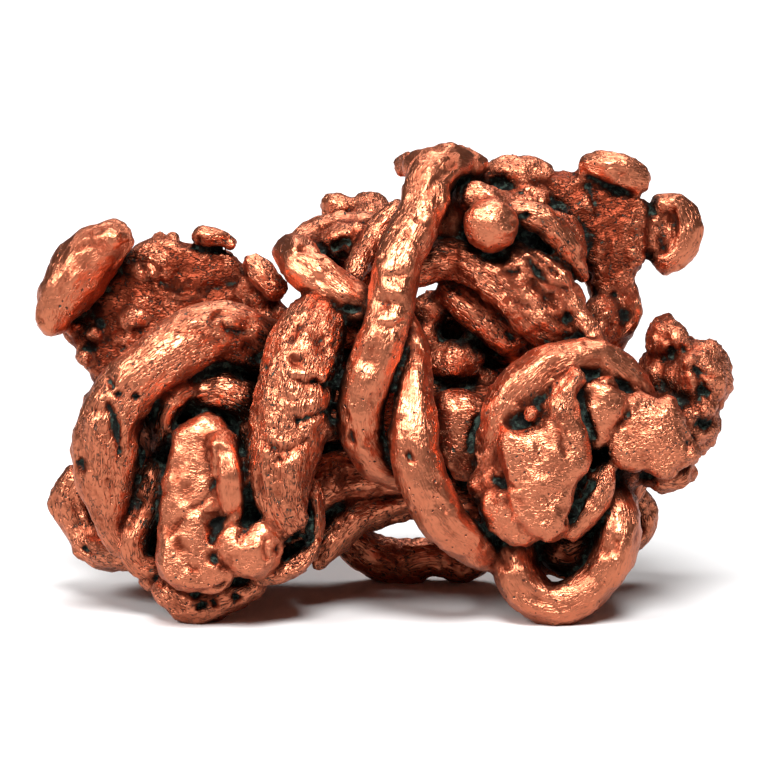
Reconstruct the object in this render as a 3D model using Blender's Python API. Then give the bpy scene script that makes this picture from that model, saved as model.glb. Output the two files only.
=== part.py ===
"""A native copper nugget, about 87 mm wide: a knot of rope-like strands, plates and lumps grown together.

Every form is placed in the nugget's own face-on frame, in millimetres: u runs right, v up and d towards
the front. The forms are fused into one solid, given a coarse relief, leaned back onto three low points
and cut flat where they meet the ground.
"""

import math

import bmesh
import bpy
import numpy as np
from mathutils import Matrix, Vector, noise

MM = 0.001

# Driving dimensions, in millimetres and degrees.
LEAN = 9.5  # how far the face-on frame leans back when the nugget rests on its three low points
STANDS_AT = (0.0, 2.55, -1.9)  # the face-on point that lies under the nugget's middle, on the ground
FUSE_CELL = 0.55  # cell size of the grid in which the forms grow together
ROUNDING_PASSES = 1  # passes that soften the creases between forms
RELIEF_HEIGHT = 0.42  # height of the broad dents and swellings
RELIEF_LENGTH = 5.0  # distance between one swelling and the next
GRIT_HEIGHT = 0.20  # height of the small lumps on top of them
GRIT_LENGTH = 1.8
MOST_TRIANGLES = 9300

# How finely the forms are drawn before they are fused.
STEP = 0.9  # along a strand
SIDES = 18  # around a strand
CORNER = 2.4  # exponent of the cross-section: 2 is an ellipse, more is boxier
CAP_ANGLES = (25, 50, 72)  # rings of a rounded end
CAP_REACH = 0.9  # how far a rounded end runs on, as a share of the strand's half size
UPRIGHT_ENOUGH = 0.35  # a strand less tilted than this towards the front keeps its last direction across
BALL_SUBDIVISIONS = 3  # of the ball that a lump is squeezed from
RIM = 1.9  # radius of a slab's rounded rim
RIM_ANGLES = (0, 25, 50, 72)  # rings of that rim
RIM_DRAWN_IN = 0.8  # how far the rim draws in, as a share of its radius
DOME_RINGS = ((0.75, 0.1), (0.4, 0.5))  # share of the outline and height of each ring on a slab's domed face
DOME = 0.6  # height of the dome
OUTLINE_EASING = 4  # passes that even out the directions in which an outline draws in

COPPER = (0.62, 0.25, 0.14, 1.0)
COPPER_ROUGHNESS = 0.38

# A strand is a list of stations: u, v, d, width across and thickness from front to back.
STRANDS = {
    # Upper left: a smooth lobe with two heads, its folded lip, and the knobs on the rough plate.
    "left_lobe": [(-33.9, 48.2, -3, 5.4, 6.5), (-37, 46.7, -3, 6.7, 7), (-39.1, 43.9, -3, 6.7, 7),
                  (-40.9, 40.8, -3, 5.8, 6), (-41.7, 38.3, -3, 4.4, 5)],
    "left_lip": [(-33.4, 46.6, -1, 2, 3), (-35.6, 43.2, -0.6, 2.2, 3), (-38.6, 40.9, -1.2, 2, 2.6)],
    "left_knob_high": [(-23, 48.9, -4.5, 2.5, 4), (-20.6, 48.6, -4.5, 2.2, 4), (-18.7, 47.7, -4.5, 1.9, 3)],
    "left_knob_low": [(-17.2, 45.8, -3, 2.6, 4), (-15.4, 43.8, -2.5, 3.5, 4.5), (-13.7, 42.1, -2, 3.6, 4)],
    # Left: the big arc, the lobe outside it and the thin strand inside it.
    "big_arc": [(-13.5, 33.5, 6, 7, 8), (-18, 35.9, 8, 8.3, 9), (-22.4, 36.1, 10, 8.5, 9.5),
                (-26.8, 33.6, 12, 8.2, 9.5), (-30.4, 30.8, 13, 7.6, 9), (-32.8, 28, 13, 7.8, 9),
                (-34.2, 25.2, 13, 8.4, 8.5), (-34.6, 22.3, 12.5, 8.8, 8), (-34.8, 19.2, 12, 8.2, 7.5),
                (-34.6, 16, 11, 6.4, 7), (-34.4, 12.5, 9.5, 4, 5.5), (-33.4, 9.6, 8, 2.4, 4.5)],
    "outer_lobe": [(-38.2, 17, -3, 3.8, 5), (-38.9, 14.8, -4, 5.4, 6), (-37.9, 11.8, -4, 5.2, 6),
                   (-36.6, 9.8, -3, 5.2, 6), (-34.6, 8.9, -1, 4.8, 6), (-31.5, 8.6, 3, 4.4, 6)],
    "inner_strand": [(-28.4, 20, 6, 2.4, 5), (-29, 17.4, 8, 3, 5.5), (-29.9, 14.6, 8.5, 3.4, 5.5),
                     (-31, 12.2, 9, 3.6, 5.5), (-31.4, 9.8, 9, 3.4, 5.5), (-30.6, 7.9, 9, 3, 5.5),
                     (-28.6, 7, 9, 3, 5.5), (-26, 6.6, 9, 3, 5.5)],
    "arc_leaf": [(-28.4, 23.2, 7, 1.6, 6), (-28.1, 25.2, 9, 2.4, 5), (-26.8, 27, 10.5, 2.7, 4.5),
                 (-25, 29.2, 11, 1.7, 4)],
    "inner_ring": [(-26, 28.2, 8, 2, 5), (-23, 28.8, 8, 3.2, 6), (-21, 28.5, 7.5, 4.4, 6.5),
                   (-18.8, 27.8, 7.5, 5.2, 7), (-16.8, 26, 8, 5.5, 7), (-15.4, 22.5, 9, 5.5, 7)],
    # Front left: the side of the slab, its foot and the curl under the upright strand.
    "slab_side": [(-19.7, 22, 17, 3.4, 8), (-19.3, 19.4, 17.6, 3.8, 8), (-19.2, 16.6, 17, 3.6, 8)],
    "foot": [(-27, 4.3, 10, 3.8, 7), (-24.3, 3, 10.8, 6.2, 8), (-21.4, 3.3, 11.2, 5.8, 8),
             (-18.4, 4, 12.4, 3.9, 7), (-16.2, 5, 13.4, 3.1, 6)],
    "upright": [(-7.6, 39.6, 8, 6, 7), (-9.2, 37.2, 13, 9, 9.5), (-10, 33.6, 15, 9.8, 11),
                (-10.9, 29.9, 16, 9.7, 11), (-11.6, 26.1, 16.5, 9.9, 11), (-12.1, 23.6, 16.5, 9.8, 11),
                (-12.9, 20.5, 17, 9, 11), (-13, 17.4, 17, 8.4, 10), (-12.6, 14.5, 16.5, 6.6, 9),
                (-11.5, 12.2, 15, 3.6, 7)],
    "curl": [(-8.9, 17.5, 13, 2.4, 5), (-8.2, 14, 14, 2.2, 5), (-8.4, 11, 14, 2.3, 5),
             (-9.6, 8.8, 14, 2.6, 5), (-11.4, 7.3, 14, 3, 5.5), (-13.6, 6.5, 14.5, 3.2, 5.5),
             (-15.6, 6.5, 15.5, 3.2, 5.5)],
    # Centre: the hook that crosses behind the long strand, the ring behind it and the two long strands.
    "hook": [(-9.4, 45.2, 2, 5.5, 6), (-11, 46.2, 6, 5.8, 6.5), (-10.2, 46, 9.5, 6, 7),
             (-8.2, 44.5, 10.5, 6.2, 7.5), (-5.8, 42.5, 11, 6.1, 7.5), (-3.2, 40.2, 11, 6, 7.5),
             (-0.6, 37.8, 10, 6, 7)],
    "hook_ring": [(-10.6, 46.6, 3, 4.5, 5.5), (-8.7, 48.3, 0, 3.6, 5), (-6, 49.5, -2, 3.2, 5.5),
                  (-3.5, 49.6, -2, 3.2, 5.5), (-1, 48.8, -1, 3.4, 5.5), (1.4, 46, 3, 3.6, 5.5)],
    "thin_strand": [(1.6, 53, 2, 2.9, 5), (0.4, 51, 2, 3.2, 5), (-1, 48.6, 3, 3.1, 5),
                    (-2.6, 46, 5, 2.8, 5), (-4, 43.4, 7.5, 2.5, 4)],
    "long_strand": [(10.4, 57.2, 2, 4.4, 5), (8.9, 57.8, 5, 4.8, 6), (6.9, 57.2, 8, 5.4, 6.5),
                    (5.5, 55.2, 10, 6, 6.5), (5.2, 52.8, 11.5, 6, 6.5), (4, 49.8, 13, 5.8, 6.5),
                    (2, 46.1, 15, 5.8, 6.5), (1.2, 42.4, 16, 5.8, 6.5), (0.6, 38.6, 17, 5.9, 6.5),
                    (-0.8, 34.2, 17.5, 6.2, 6.8), (-2.2, 29.9, 17.5, 6.3, 7), (-3, 26.1, 17, 5.7, 7),
                    (-2.5, 23, 16, 5.2, 7), (-0.9, 20.4, 14, 5, 6.5), (1.6, 19, 12, 4.4, 6)],
    "second_strand": [(2.6, 38, 9, 3.2, 6), (3.8, 34.4, 13, 3.7, 6.5), (3.9, 30.5, 16, 4.5, 6.5),
                      (3.7, 26.8, 18, 5.4, 6.5), (3.6, 23, 19, 6.3, 6.8), (4.4, 19.4, 19, 6.5, 7),
                      (5.8, 15.9, 18.5, 6.2, 7), (7.7, 12.6, 17.5, 6, 6.8), (9.8, 10.2, 15.5, 5.6, 6.5),
                      (11.8, 8.3, 12, 5, 6), (13.5, 7.4, 8, 4.5, 6)],
    # Upper right: the strand under the disc, the rough pair beside it and the sausage in the hollow.
    "disc_rim": [(10.6, 48.2, 9.5, 2.2, 4), (13.2, 46.8, 9.5, 2.2, 4), (16.2, 48, 9.5, 2.2, 4)],
    "bridge": [(14.6, 51, 6.5, 3.2, 5), (18.2, 51.1, 8, 3.6, 5), (20.4, 50.2, 8, 3.7, 5),
               (22.2, 48.2, 7.5, 3.6, 5), (23.8, 46, 7, 3.2, 5), (25.1, 44.4, 5.5, 2.4, 4.5)],
    "rough_strand": [(4.4, 45.2, 8, 4, 6), (8.2, 46, 6.5, 4.8, 6), (11, 45, 7, 4.5, 6),
                     (13.9, 43.2, 8, 4.9, 6), (16.8, 41, 8, 5.1, 6), (19.8, 38.2, 8, 5.3, 6),
                     (23, 35.8, 8, 4.6, 6)],
    "rough_edge": [(17, 46.2, 8.5, 2.6, 4.5), (19.1, 45.6, 9, 2.8, 4.5), (21.4, 44, 9, 2.8, 4.5),
                   (23.2, 41.8, 9, 2.8, 4.5), (24.5, 39.2, 9, 2.8, 4.5), (25.8, 36.6, 9.5, 2.8, 4.5),
                   (27, 34.6, 10, 2.6, 4.5)],
    "rough_ridge": [(18, 44.2, 9.5, 1.7, 3), (20.1, 42.9, 9.8, 1.7, 3), (22, 41.5, 9.5, 1.7, 3)],
    "sausage": [(8.3, 41.4, 4, 4, 5), (10.3, 39.8, 4.5, 4.5, 5.5), (12.9, 37.7, 4.5, 4.5, 5.5),
                (15.6, 35.4, 4.5, 4.3, 5.5)],
    "under_sausage": [(11, 34.4, -1, 2.6, 5), (14.5, 33.6, 0, 2.8, 5), (18, 33, 3, 2.8, 5)],
    # Far upper right: the two lobes beyond the rough plate, and the stem under it.
    "corner_lobe": [(25.2, 57.8, 0, 3, 5), (27.2, 57.4, 0, 4, 5.5), (29.6, 56.6, 0, 4.4, 5.5),
                    (32, 55.6, 0, 4, 5)],
    "ear": [(34.2, 53.4, -2, 3, 5), (36.6, 52.5, -2, 3.6, 5), (37.8, 49.9, -2, 4.2, 5),
            (36.9, 47, -2, 4.2, 5), (35, 45.6, -2, 3.4, 5)],
    "stem": [(28.5, 43.4, -3, 5, 5.5), (28.7, 40, -3, 5.5, 5.5), (29.4, 37.4, -3, 4.4, 5.5),
             (29.6, 34, -2, 4, 6)],
    "stem_leaf": [(30.8, 42.2, -1.5, 1.8, 4), (31.7, 39.6, -1, 2.1, 4), (30.9, 37.2, -1, 2.1, 4),
                  (29.4, 35.8, -1, 2.2, 4)],
    # Right: the arc behind the slab, the leaf on the loop and the loop itself.
    "right_arc": [(14.6, 19.6, 11, 5, 7), (15.4, 24, 12.5, 6, 7.5), (16.6, 27.5, 13, 6.4, 8),
                  (18.2, 30, 13, 6.2, 8), (20.4, 31.7, 13, 5.8, 7.5), (22.8, 33, 13, 5, 7),
                  (26, 33.3, 12.5, 4.6, 6.5), (29.1, 32.1, 12, 4.4, 6.5), (31.4, 30.1, 11, 4, 6),
                  (32.6, 27.5, 9, 4, 6)],
    "slab_neck": [(21.6, 26.8, 18.6, 4.2, 6), (22.4, 29, 18.6, 3.4, 5.5), (23.7, 30.8, 17.6, 2.8, 5)],
    "loop_leaf": [(27.6, 18.6, 13.5, 2.4, 5), (27, 17, 14, 3.6, 5), (26, 15.1, 14.5, 3.4, 5),
                  (24.8, 13, 15, 2.6, 5), (23.6, 11.8, 15, 2, 4)],
    "back_lip": [(34, 18.4, 7, 3, 6), (36.8, 17.6, 6, 3, 6), (38.8, 19.2, 5, 2.8, 6)],
    "loop": [(16, 12.2, 9, 5, 7), (16.1, 9.2, 11, 6, 8), (16.7, 6.2, 12, 6, 8), (18.3, 3.8, 12, 5.8, 8),
             (21.2, 2.6, 12, 5.6, 8), (24.8, 3.9, 12, 5.4, 8), (27.5, 6.8, 12, 5.4, 8),
             (28.9, 9.7, 12, 6, 8), (29.2, 12.8, 11, 5.7, 8), (28.5, 15.9, 9, 5.2, 7.5),
             (27.4, 19, 6, 4.8, 7)],
    "loop_core": [(20.4, 11.4, 9, 4, 5), (23, 9.2, 9.4, 5.6, 5), (25.4, 11.6, 8, 4.6, 5),
                  (26, 14, 4, 5, 6)],
    "loop_back": [(22.6, 8.6, 4, 6.4, 6), (23, 11, 0, 6.4, 7), (22.5, 14, -4, 5.5, 7)],
    "strut": [(29.6, 19.4, 4, 2.6, 5), (31.2, 17.4, -2, 2.6, 4), (32, 15.8, -9, 3, 4)],
    # Below the centre: a rough strand, and the loop behind it that the nugget rests on.
    "low_strand": [(-8, 8.4, 3, 3, 6), (-6.5, 10.2, 4, 4.2, 6.5), (-4.9, 12.2, 4, 5, 6.5),
                   (-2.8, 14, 4, 5, 6.5), (-0.2, 14.9, 4, 4.2, 6), (3, 15.6, 4, 3.6, 6)],
    "low_link": [(-4, 12.6, 1, 3.6, 6), (-1.6, 12.8, -3, 3, 5.5), (1.4, 13.7, -4, 3, 5.5),
                 (5.5, 15.6, -2, 4, 6.5)],
    "rest_loop": [(-6.2, 13.3, -14, 4.5, 6), (-4.6, 10.6, -14.5, 4.6, 6), (-2, 8, -15, 4.8, 6.5),
                  (0.8, 6.7, -16, 4.9, 6.5), (3.2, 6.5, -16, 4.8, 6.5), (5.2, 7.4, -15, 4.2, 6),
                  (7.3, 7.8, -15, 4.3, 6), (9.8, 7.2, -15, 5, 6.5), (12.8, 8.6, -14, 4.4, 6),
                  (17, 10.8, -12, 4.6, 6.5), (22, 12, -12, 5, 7)],
    "rear_ear": [(28, 17.5, -12, 4, 6), (31.2, 16, -14, 3.4, 5), (32.7, 13.9, -15, 3.6, 5),
                 (32.6, 11.8, -16, 3.4, 5), (30.8, 10.2, -15, 3.2, 5), (27, 11, -13, 4, 6)],
    # Inside and at the back: the strands that tie everything together.
    "heart_left_high": [(-32, 27.5, 4, 7, 8), (-26, 31, 3, 7, 8), (-18, 32.5, 2, 7, 8)],
    "heart_high": [(-7.5, 36.6, 1, 7, 8), (-3, 38, 0, 7.5, 8), (1, 37.4, 1, 6, 8)],
    "heart_left": [(-31, 30, 5, 6, 8), (-27, 23, 3, 7, 9), (-23, 15, 2, 8, 10), (-21, 8, 3, 7, 9)],
    "heart_middle": [(-20, 33, 0, 8, 9), (-12, 29, 0, 11, 12), (-3, 27, 0, 12, 13), (8, 26, 0, 11, 13),
                     (19, 24, 2, 11, 13), (29, 24, 3, 9, 12), (35, 24, 2, 7, 10)],
    "heart_low": [(-22, 12, 4, 6, 9), (-14, 14, 4, 7, 10), (-6, 18, 4, 7, 10), (3, 18.5, 4, 6, 10),
                  (11, 16.5, 4, 7, 10), (20, 16, 3, 7, 10), (27, 17, 2, 7, 10)],
    "rear_sweep": [(-34, 33, -9, 6, 6), (-36.2, 27, -10, 6.5, 7), (-35, 20, -12, 7, 7.5),
                   (-30, 14, -14, 7, 8), (-22, 11.5, -15, 6.5, 7.5), (-14, 12.5, -15, 6, 7),
                   (-7.5, 13, -14, 5, 6.5)],
    "rear_upright": [(-3, 50, -12.5, 5, 7), (-3.2, 46, -13.5, 6, 7.5), (-4.4, 40, -15, 6.8, 8),
                     (-6, 33, -16, 7.6, 8), (-8, 26, -16, 7.6, 8), (-8.4, 20, -15.5, 6.6, 7.5),
                     (-7, 14.5, -14.5, 5.2, 6.8)],
    "rear_cross": [(-30, 38, -10, 7, 6), (-24, 34, -12, 7, 7), (-14, 31.5, -14, 7, 7.5),
                   (-2, 32, -15, 7, 8), (8, 34, -14, 7, 7.5), (17, 35, -12, 7, 7.5), (25, 36, -9, 6, 7),
                   (29, 39, -6, 5, 6)],
    "rear_arc": [(27, 46, -6, 6, 6), (30, 41, -8.5, 4.6, 6), (32, 33.5, -11, 6, 7), (31.5, 26, -13, 7, 8),
                 (29, 20, -13.5, 7, 8), (23, 15.5, -12, 6, 7.5)],
    "rear_saddle": [(-1, 36.2, -13, 7, 7), (7, 36.8, -12.5, 7, 8), (15, 38, -11, 7, 8)],
    "rear_ridge": [(-3, 47.4, -11, 6, 7), (5.4, 48.6, -8.4, 6.2, 7), (13, 49, -5.4, 6, 7)],
    "rear_thread": [(-28, 19.4, -12.6, 5.5, 6.5), (-20, 18.2, -14.6, 5.5, 6.5),
                    (-13, 19.4, -15.4, 5.2, 6.5)],
    "rear_tie_left": [(-20, 31, -2, 8, 8), (-22, 27, -8, 8, 8), (-26, 22, -12, 7, 8)],
    "rear_tie_middle": [(2, 26, -2, 10, 10), (3, 24, -9, 8, 9), (2, 20, -14, 6.5, 8), (-5, 17, -15, 6, 7)],
    "rear_tie_right": [(22, 25, 0, 10, 9), (24, 25, -7, 8, 8), (27, 25, -13, 7, 8)],
    "rear_fill_left": [(-34.4, 27, 1, 7, 9), (-34.8, 20, -2, 7, 9), (-32, 14, -4.5, 7, 9),
                       (-26, 9.8, -6, 6, 9)],
    "rear_fill_right": [(31, 24, -3, 7, 9), (29.6, 16.6, -5.6, 6, 8), (23, 13.4, -5.6, 6, 8)],
    "rear_fill_low": [(29, 14.6, 6, 5, 7), (29.4, 12.6, -2, 6, 7), (28.4, 13.4, -9, 6, 7)],
    "under_left": [(-20.5, 9.6, -2, 6.5, 8), (-13, 10.6, -5, 6.5, 8), (-7, 13, -8, 6, 7)],
    "rear_fill_middle": [(-18, 18, -6, 9, 9), (-9, 20, -7, 9, 9), (2, 22, -7, 9, 9), (12, 20, -8, 9, 9),
                         (20, 18, -7, 8, 9)],
    "rear_tie_low": [(-7, 17.5, -13.5, 5, 6.5), (0, 16.4, -12.5, 5, 6.5), (9, 15.8, -13.5, 5, 6.5)],
    "rear_tie_high": [(-3.6, 36, -9, 8, 9), (-1.6, 41, -8, 7, 9), (-3, 46.5, -8, 6, 8)],
    "rear_tie_rough": [(11.4, 46.6, -2.6, 6, 7), (15.4, 43.6, -5, 7, 8), (20, 39.4, -7, 7, 8),
                       (21, 35, -9, 7, 8)],
    "rear_bow": [(2, 33.5, -15, 6, 7), (9, 29.6, -18, 6.5, 7), (12.4, 23, -18, 6.5, 7), (11, 16, -16, 6, 7),
                 (9, 11, -15, 5, 6)],
    "rear_hook": [(-22, 37, -11, 6, 6), (-16.4, 39.4, -12, 5.5, 6), (-14.6, 36, -15.4, 5.5, 6),
                  (-19, 30, -17, 6, 6.5), (-24, 25, -15.6, 6, 6.5)],
}

# A lump is u, v, d and its half sizes along them.
LUMPS = {
    "plate_bumps": [(-28.4, 48.8, -7, 1, 1, 1.8), (-26.7, 48.2, -7, 1, 0.9, 1.8),
                    (-24.6, 47.4, -6.5, 1.1, 0.9, 1.8), (-39.4, 37.2, -6, 1.6, 1.4, 2.2),
                    (-36.2, 36.6, -4.6, 1.7, 1.3, 1.6), (-37.8, 33.6, -5, 1.4, 1.6, 1.6),
                    (-30, 44.4, -4.3, 2, 1.2, 1.2), (-25, 41.6, -4, 2.4, 1.2, 1.2),
                    (-31.5, 38.4, -4.2, 2.2, 1.4, 1.2)],
    "front_knob": [(-18.2, 9.4, 19, 3.3, 3.1, 4.6), (-14.5, 10.9, 18.4, 2.1, 2.6, 4),
                   (-16, 7.7, 18.6, 2.7, 2, 4), (-19.1, 12.4, 19.4, 1.4, 1.3, 3)],
    "nubs": [(-29.4, 5.3, 8.5, 1.2, 1.2, 2), (-7.4, 24.6, 15.5, 1.5, 1.7, 3.6),
             (2.3, 57.4, 5, 1.4, 1.6, 2.8), (12.6, 57.2, -1, 1, 0.9, 1.6),
             (15.8, 39.6, 10.6, 1.3, 1.1, 1.6), (18.2, 26.5, 21, 1.2, 1.2, 2),
             (14.5, 15.8, 18.6, 1.1, 0.9, 1.6)],
    "hook_nest": [(-4.9, 47.2, -3, 3.4, 2.8, 2.4), (-6.1, 52.2, -12.5, 2, 2.1, 3),
                  (-2.3, 51, -13, 3, 2.9, 3.6)],
    "strand_head": [(6.1, 57.3, 8, 3.9, 2.7, 3.4), (10.2, 57.5, 4, 2.1, 2, 2.8),
                    (8.4, 50.8, 3, 3.2, 4.6, 4.4)],
    "disc": [(13.2, 49.8, 11.4, 3.5, 3.4, 2.6), (12.5, 52.7, 8.6, 3, 2.4, 3), (9.8, 52.2, 7, 1.7, 2.6, 3),
             (13, 51.5, 3.4, 4, 3.6, 4)],
    "rough_middle": [(16.5, 44, 9.4, 2.1, 2.9, 2.6), (20.6, 38.4, 7, 5, 3.1, 3.6),
                     (21.4, 47.2, 2.8, 4.4, 5, 4.6), (16, 35.1, 4.2, 1.7, 1.7, 2.6),
                     (5.6, 36.2, 3, 1.9, 2.4, 3), (8.8, 32.9, 4, 3.6, 2.8, 4),
                     (10.8, 35.5, 1.6, 1.8, 1.6, 3), (8.6, 36, -4, 4.8, 4.2, 4.6),
                     (27.4, 38, 0, 2.8, 3.4, 4), (6.2, 39, 3, 2.2, 2.1, 3)],
    "top_lump": [(14.6, 57, -2, 1.9, 1.9, 3), (16.9, 56.2, -2, 3.1, 2.5, 3.6),
                 (19.2, 56.8, -2, 2.4, 2.1, 3.2), (16, 54.2, -1.6, 3.2, 2.2, 3.2),
                 (12.4, 55.6, 0, 2, 1.7, 2.6)],
    "ear_web": [(34.8, 49.2, -3, 2.8, 3.6, 2.2)],
    "right_ball": [(39, 32.2, 2.6, 4.7, 4.8, 6.6), (35.5, 35.7, 2, 2.8, 3, 4.6), (34, 31, 0, 3, 5, 5.4),
                   (38.7, 25.6, 2.6, 3.7, 5, 6.6), (37.4, 21.2, 3.4, 3.4, 3, 5.4),
                   (35.4, 25, 3, 3.4, 5, 6.6), (38.2, 33, 8.6, 1.2, 1.2, 1.6),
                   (40.8, 30.9, 7, 1.7, 1.3, 2.6), (40, 27.2, 6.6, 1.9, 1.7, 3),
                   (36.7, 35.6, 5.4, 2, 1.5, 2), (41, 34.4, 5, 1.5, 1.4, 2.2)],
    "hollow_backs": [(-6.1, 18.4, 5, 2.6, 3.1, 4.6), (28.6, 20.4, 7, 4.4, 5, 5),
                     (-11.6, 10.4, 9.6, 2.8, 3, 4), (-17, 13.6, 11, 3, 4, 5), (20, 26.4, 11.6, 4, 4, 3.6),
                     (24.6, 27, 9, 4, 4, 4), (-30.4, 12, 4, 3, 5, 5)],
    "rear_lumps": [(-28, 30, -13, 3.5, 3, 3.4), (16, 30, -15, 3.4, 2.8, 3.4), (-12, 24.4, -17.6, 2.6, 3, 3),
                   (25, 33, -13, 3, 3, 3.4), (-31, 22, -14, 2.6, 3, 3), (19, 20.4, -14, 3.4, 3, 3.6),
                   (26, 52, -5.6, 3, 2.4, 1.8), (30, 48, -5.6, 2.2, 3, 1.8), (-36, 40, -8, 2.6, 3, 2.6),
                   (1.6, 26, -16.4, 3.4, 3.2, 4), (-9.2, 45.2, -8.6, 3.2, 3.4, 4)],
}

# A slab is d at its middle, thickness, the slope of its face along u and v, and its outline in u and v.
SLABS = {
    "left_plate": (-7.5, 5.6, 0.06, 0.02, [
        (-32, 47.2), (-30.3, 48), (-28.4, 48.8), (-26.6, 48.3), (-24.6, 47.6), (-22, 47.4), (-19.5, 46.6),
        (-17.8, 45), (-16.5, 43), (-15.2, 40.8), (-14.6, 38), (-17, 34), (-24, 31), (-33, 28.5), (-36, 29.8),
        (-37.4, 31.8), (-38.8, 34.2), (-40.4, 36.4), (-40.4, 38.8), (-39.6, 41.4), (-37.6, 44), (-35, 46.4)]),
    "front_slab": (13.8, 11, 0.05, -0.06, [
        (-26.9, 21.1), (-26.1, 24.2), (-25, 25.2), (-23.6, 26.1), (-22.1, 26.4), (-20.5, 25.8), (-19.4, 24.8),
        (-18.8, 23), (-17.8, 21.4), (-17.6, 18.4), (-17.8, 15.6), (-18.4, 13.6), (-20.4, 12.6), (-21, 10.2),
        (-20, 8), (-18.4, 6.4), (-19.5, 4.7), (-21.1, 4.1), (-23, 4), (-24.9, 4.2), (-26.8, 5.2), (-28, 6.4),
        (-28.4, 8), (-28.2, 10.5), (-28, 13), (-27.8, 16.1), (-27.4, 18.6)]),
    "green_block": (8, 9, -0.05, 0.05, [
        (6.2, 28.4), (8.2, 29.2), (10.1, 29), (12, 28.4), (13.2, 27.6), (13.4, 26.6), (12.9, 24.9),
        (12.2, 22.4), (12.2, 19.9), (12.4, 17.2), (10.8, 17.6), (8.9, 18.4), (7.6, 20.5), (6.6, 22.6)]),
    "right_plate": (-2, 6, 0.0, 0.0, [
        (20.1, 56.5), (21.6, 55.9), (24, 55.4), (26, 55.6), (28.4, 55.2), (30.8, 54.6), (33, 53), (33.3, 49.6),
        (33.2, 46.8), (32.6, 45.2), (31.6, 43.6), (30.6, 41.6), (27, 41), (26, 43.6), (24.9, 45.2), (23.2, 47.4),
        (21, 49.5), (19.5, 51.5), (19, 53.6), (19.2, 55.5)]),
    "right_slab": (17, 9, -0.08, -0.04, [
        (14.5, 24.9), (15.8, 24.6), (17.6, 24.9), (18.9, 25.4), (19.9, 26.9), (21.4, 28), (23.2, 28.6), (24.4, 28),
        (24.5, 26.1), (25.5, 23), (25.9, 21.1),
        (25.5, 19.2), (24.2, 18), (23.5, 15.5), (23, 13.6), (22.8, 12), (21.8, 10.9), (20.5, 10.4), (19.2, 10.8),
        (17.6, 12.1), (16.4, 13.2), (15.5, 15.5), (15.1, 18), (14.5, 19.5), (14.2, 22.4)]),
    "slab_lobe": (15, 7.5, 0.1, 0.05, [
        (11.7, 14.9), (12, 16.1), (13, 17.1), (14.5, 17.4), (16, 16.6), (17, 14.6), (18.2, 12.8), (19.1, 11.4),
        (18.6, 10.5), (17.2, 9.8), (15.8, 10.1), (13.9, 11.1), (12.4, 13)]),
    "upper_leaf": (13.4, 6, 0.0, 0.05, [
        (24.2, 27.4), (24.5, 28), (25.8, 29.2), (25.6, 30.5), (26.4, 30.9), (28.2, 30.6), (29.2, 29.4), (29.6, 28),
        (29.5, 26.8), (28.9, 25.5), (28.2, 24.2), (27.6, 23), (26.8, 22.6), (26, 23), (25.4, 24.2), (24.8, 25.5)]),
    "side_slab": (12.2, 8.6, -0.1, 0.0, [
        (29.8, 28.6), (31, 29.2), (32, 29.3), (33.2, 28.8), (34.4, 28.4), (35.5, 28.8), (36.4, 28), (37.2, 26.5),
        (37.9, 24.5), (38.2, 23.2), (39.3, 22.4), (39.8, 21.5), (38.9, 20.2), (37.6, 19.9), (36.4, 18.6),
        (34.8, 17.8), (33.4, 18.8), (32, 19.2), (30.1, 19.2), (28.5, 20.2), (27.9, 21.2), (28.5, 23.4),
        (29.2, 24.9), (30.4, 26.2)]),
}

# A groove is a path in u and v over the front of the nugget, with its width and depth.
GROOVES = {
    "arc_slit": ([(-34.2, 27), (-33.4, 24), (-32.9, 21)], 1.5, 1.6),
    "arc_side_hollow": ([(-38, 21), (-37.6, 18.6)], 1.3, 1.0),
    "outer_lobe_hollow": ([(-38.2, 10.6), (-37.2, 8.8)], 1.4, 1.0),
    "plate_band": ([(-28.4, 43), (-24, 41.8), (-19.5, 41.5)], 1.6, 0.9),
    "plate_hollow": ([(21, 52.5), (23.5, 50.4), (25.6, 49)], 1.9, 1.1),
    "ear_hollow": ([(35.4, 50.6), (35, 47.4)], 1.3, 1.0),
    "rough_eye": ([(16.2, 44.9), (17.2, 44.6)], 0.9, 1.1),
    "rough_slit": ([(18.6, 44.6), (20.6, 43.6), (22.2, 42)], 0.8, 0.9),
    "upright_ledge": ([(-11.6, 31), (-10, 30), (-8, 30.4)], 0.9, 0.6),
    "upright_crack": ([(-10.4, 25.2), (-8.6, 26.2), (-6.8, 26.6)], 0.7, 0.8),
    "slab_lobe_hollow": ([(15.6, 16.6), (16.4, 15.4)], 1.0, 1.0),
    "ball_crack": ([(38.2, 31), (40, 31.8), (42, 31.4)], 0.8, 0.8),
    "ball_hollow": ([(40, 26), (40.8, 24.4)], 1.2, 1.1),
}


def curve_through(stations, step):
    """Points of a smooth curve through the stations, with every other value eased along with it."""
    knots = np.array(stations, float)
    padded = np.vstack([2 * knots[0] - knots[1], knots, 2 * knots[-1] - knots[-2]])
    points = []
    for before, start, end, after in zip(padded, padded[1:], padded[2:], padded[3:]):
        count = max(2, int(np.linalg.norm((end - start)[:3]) / step))
        for t in np.arange(count) / count:
            bend = 2 * before - 5 * start + 4 * end - after
            twist = 3 * (start - end) + after - before
            points.append(start + 0.5 * t * ((end - before) + t * (bend + t * twist)))
    points.append(knots[-1])
    return np.array(points)


def unit(vector):
    return vector / np.linalg.norm(vector)


def cross_section():
    """One turn of a slightly boxy oval, with half sizes of 1."""
    turn = np.linspace(0, 2 * math.pi, SIDES, endpoint=False)
    cosine, sine = np.cos(turn), np.sin(turn)
    power = 2 / CORNER
    return np.sign(cosine) * abs(cosine) ** power, np.sign(sine) * abs(sine) ** power


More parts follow.
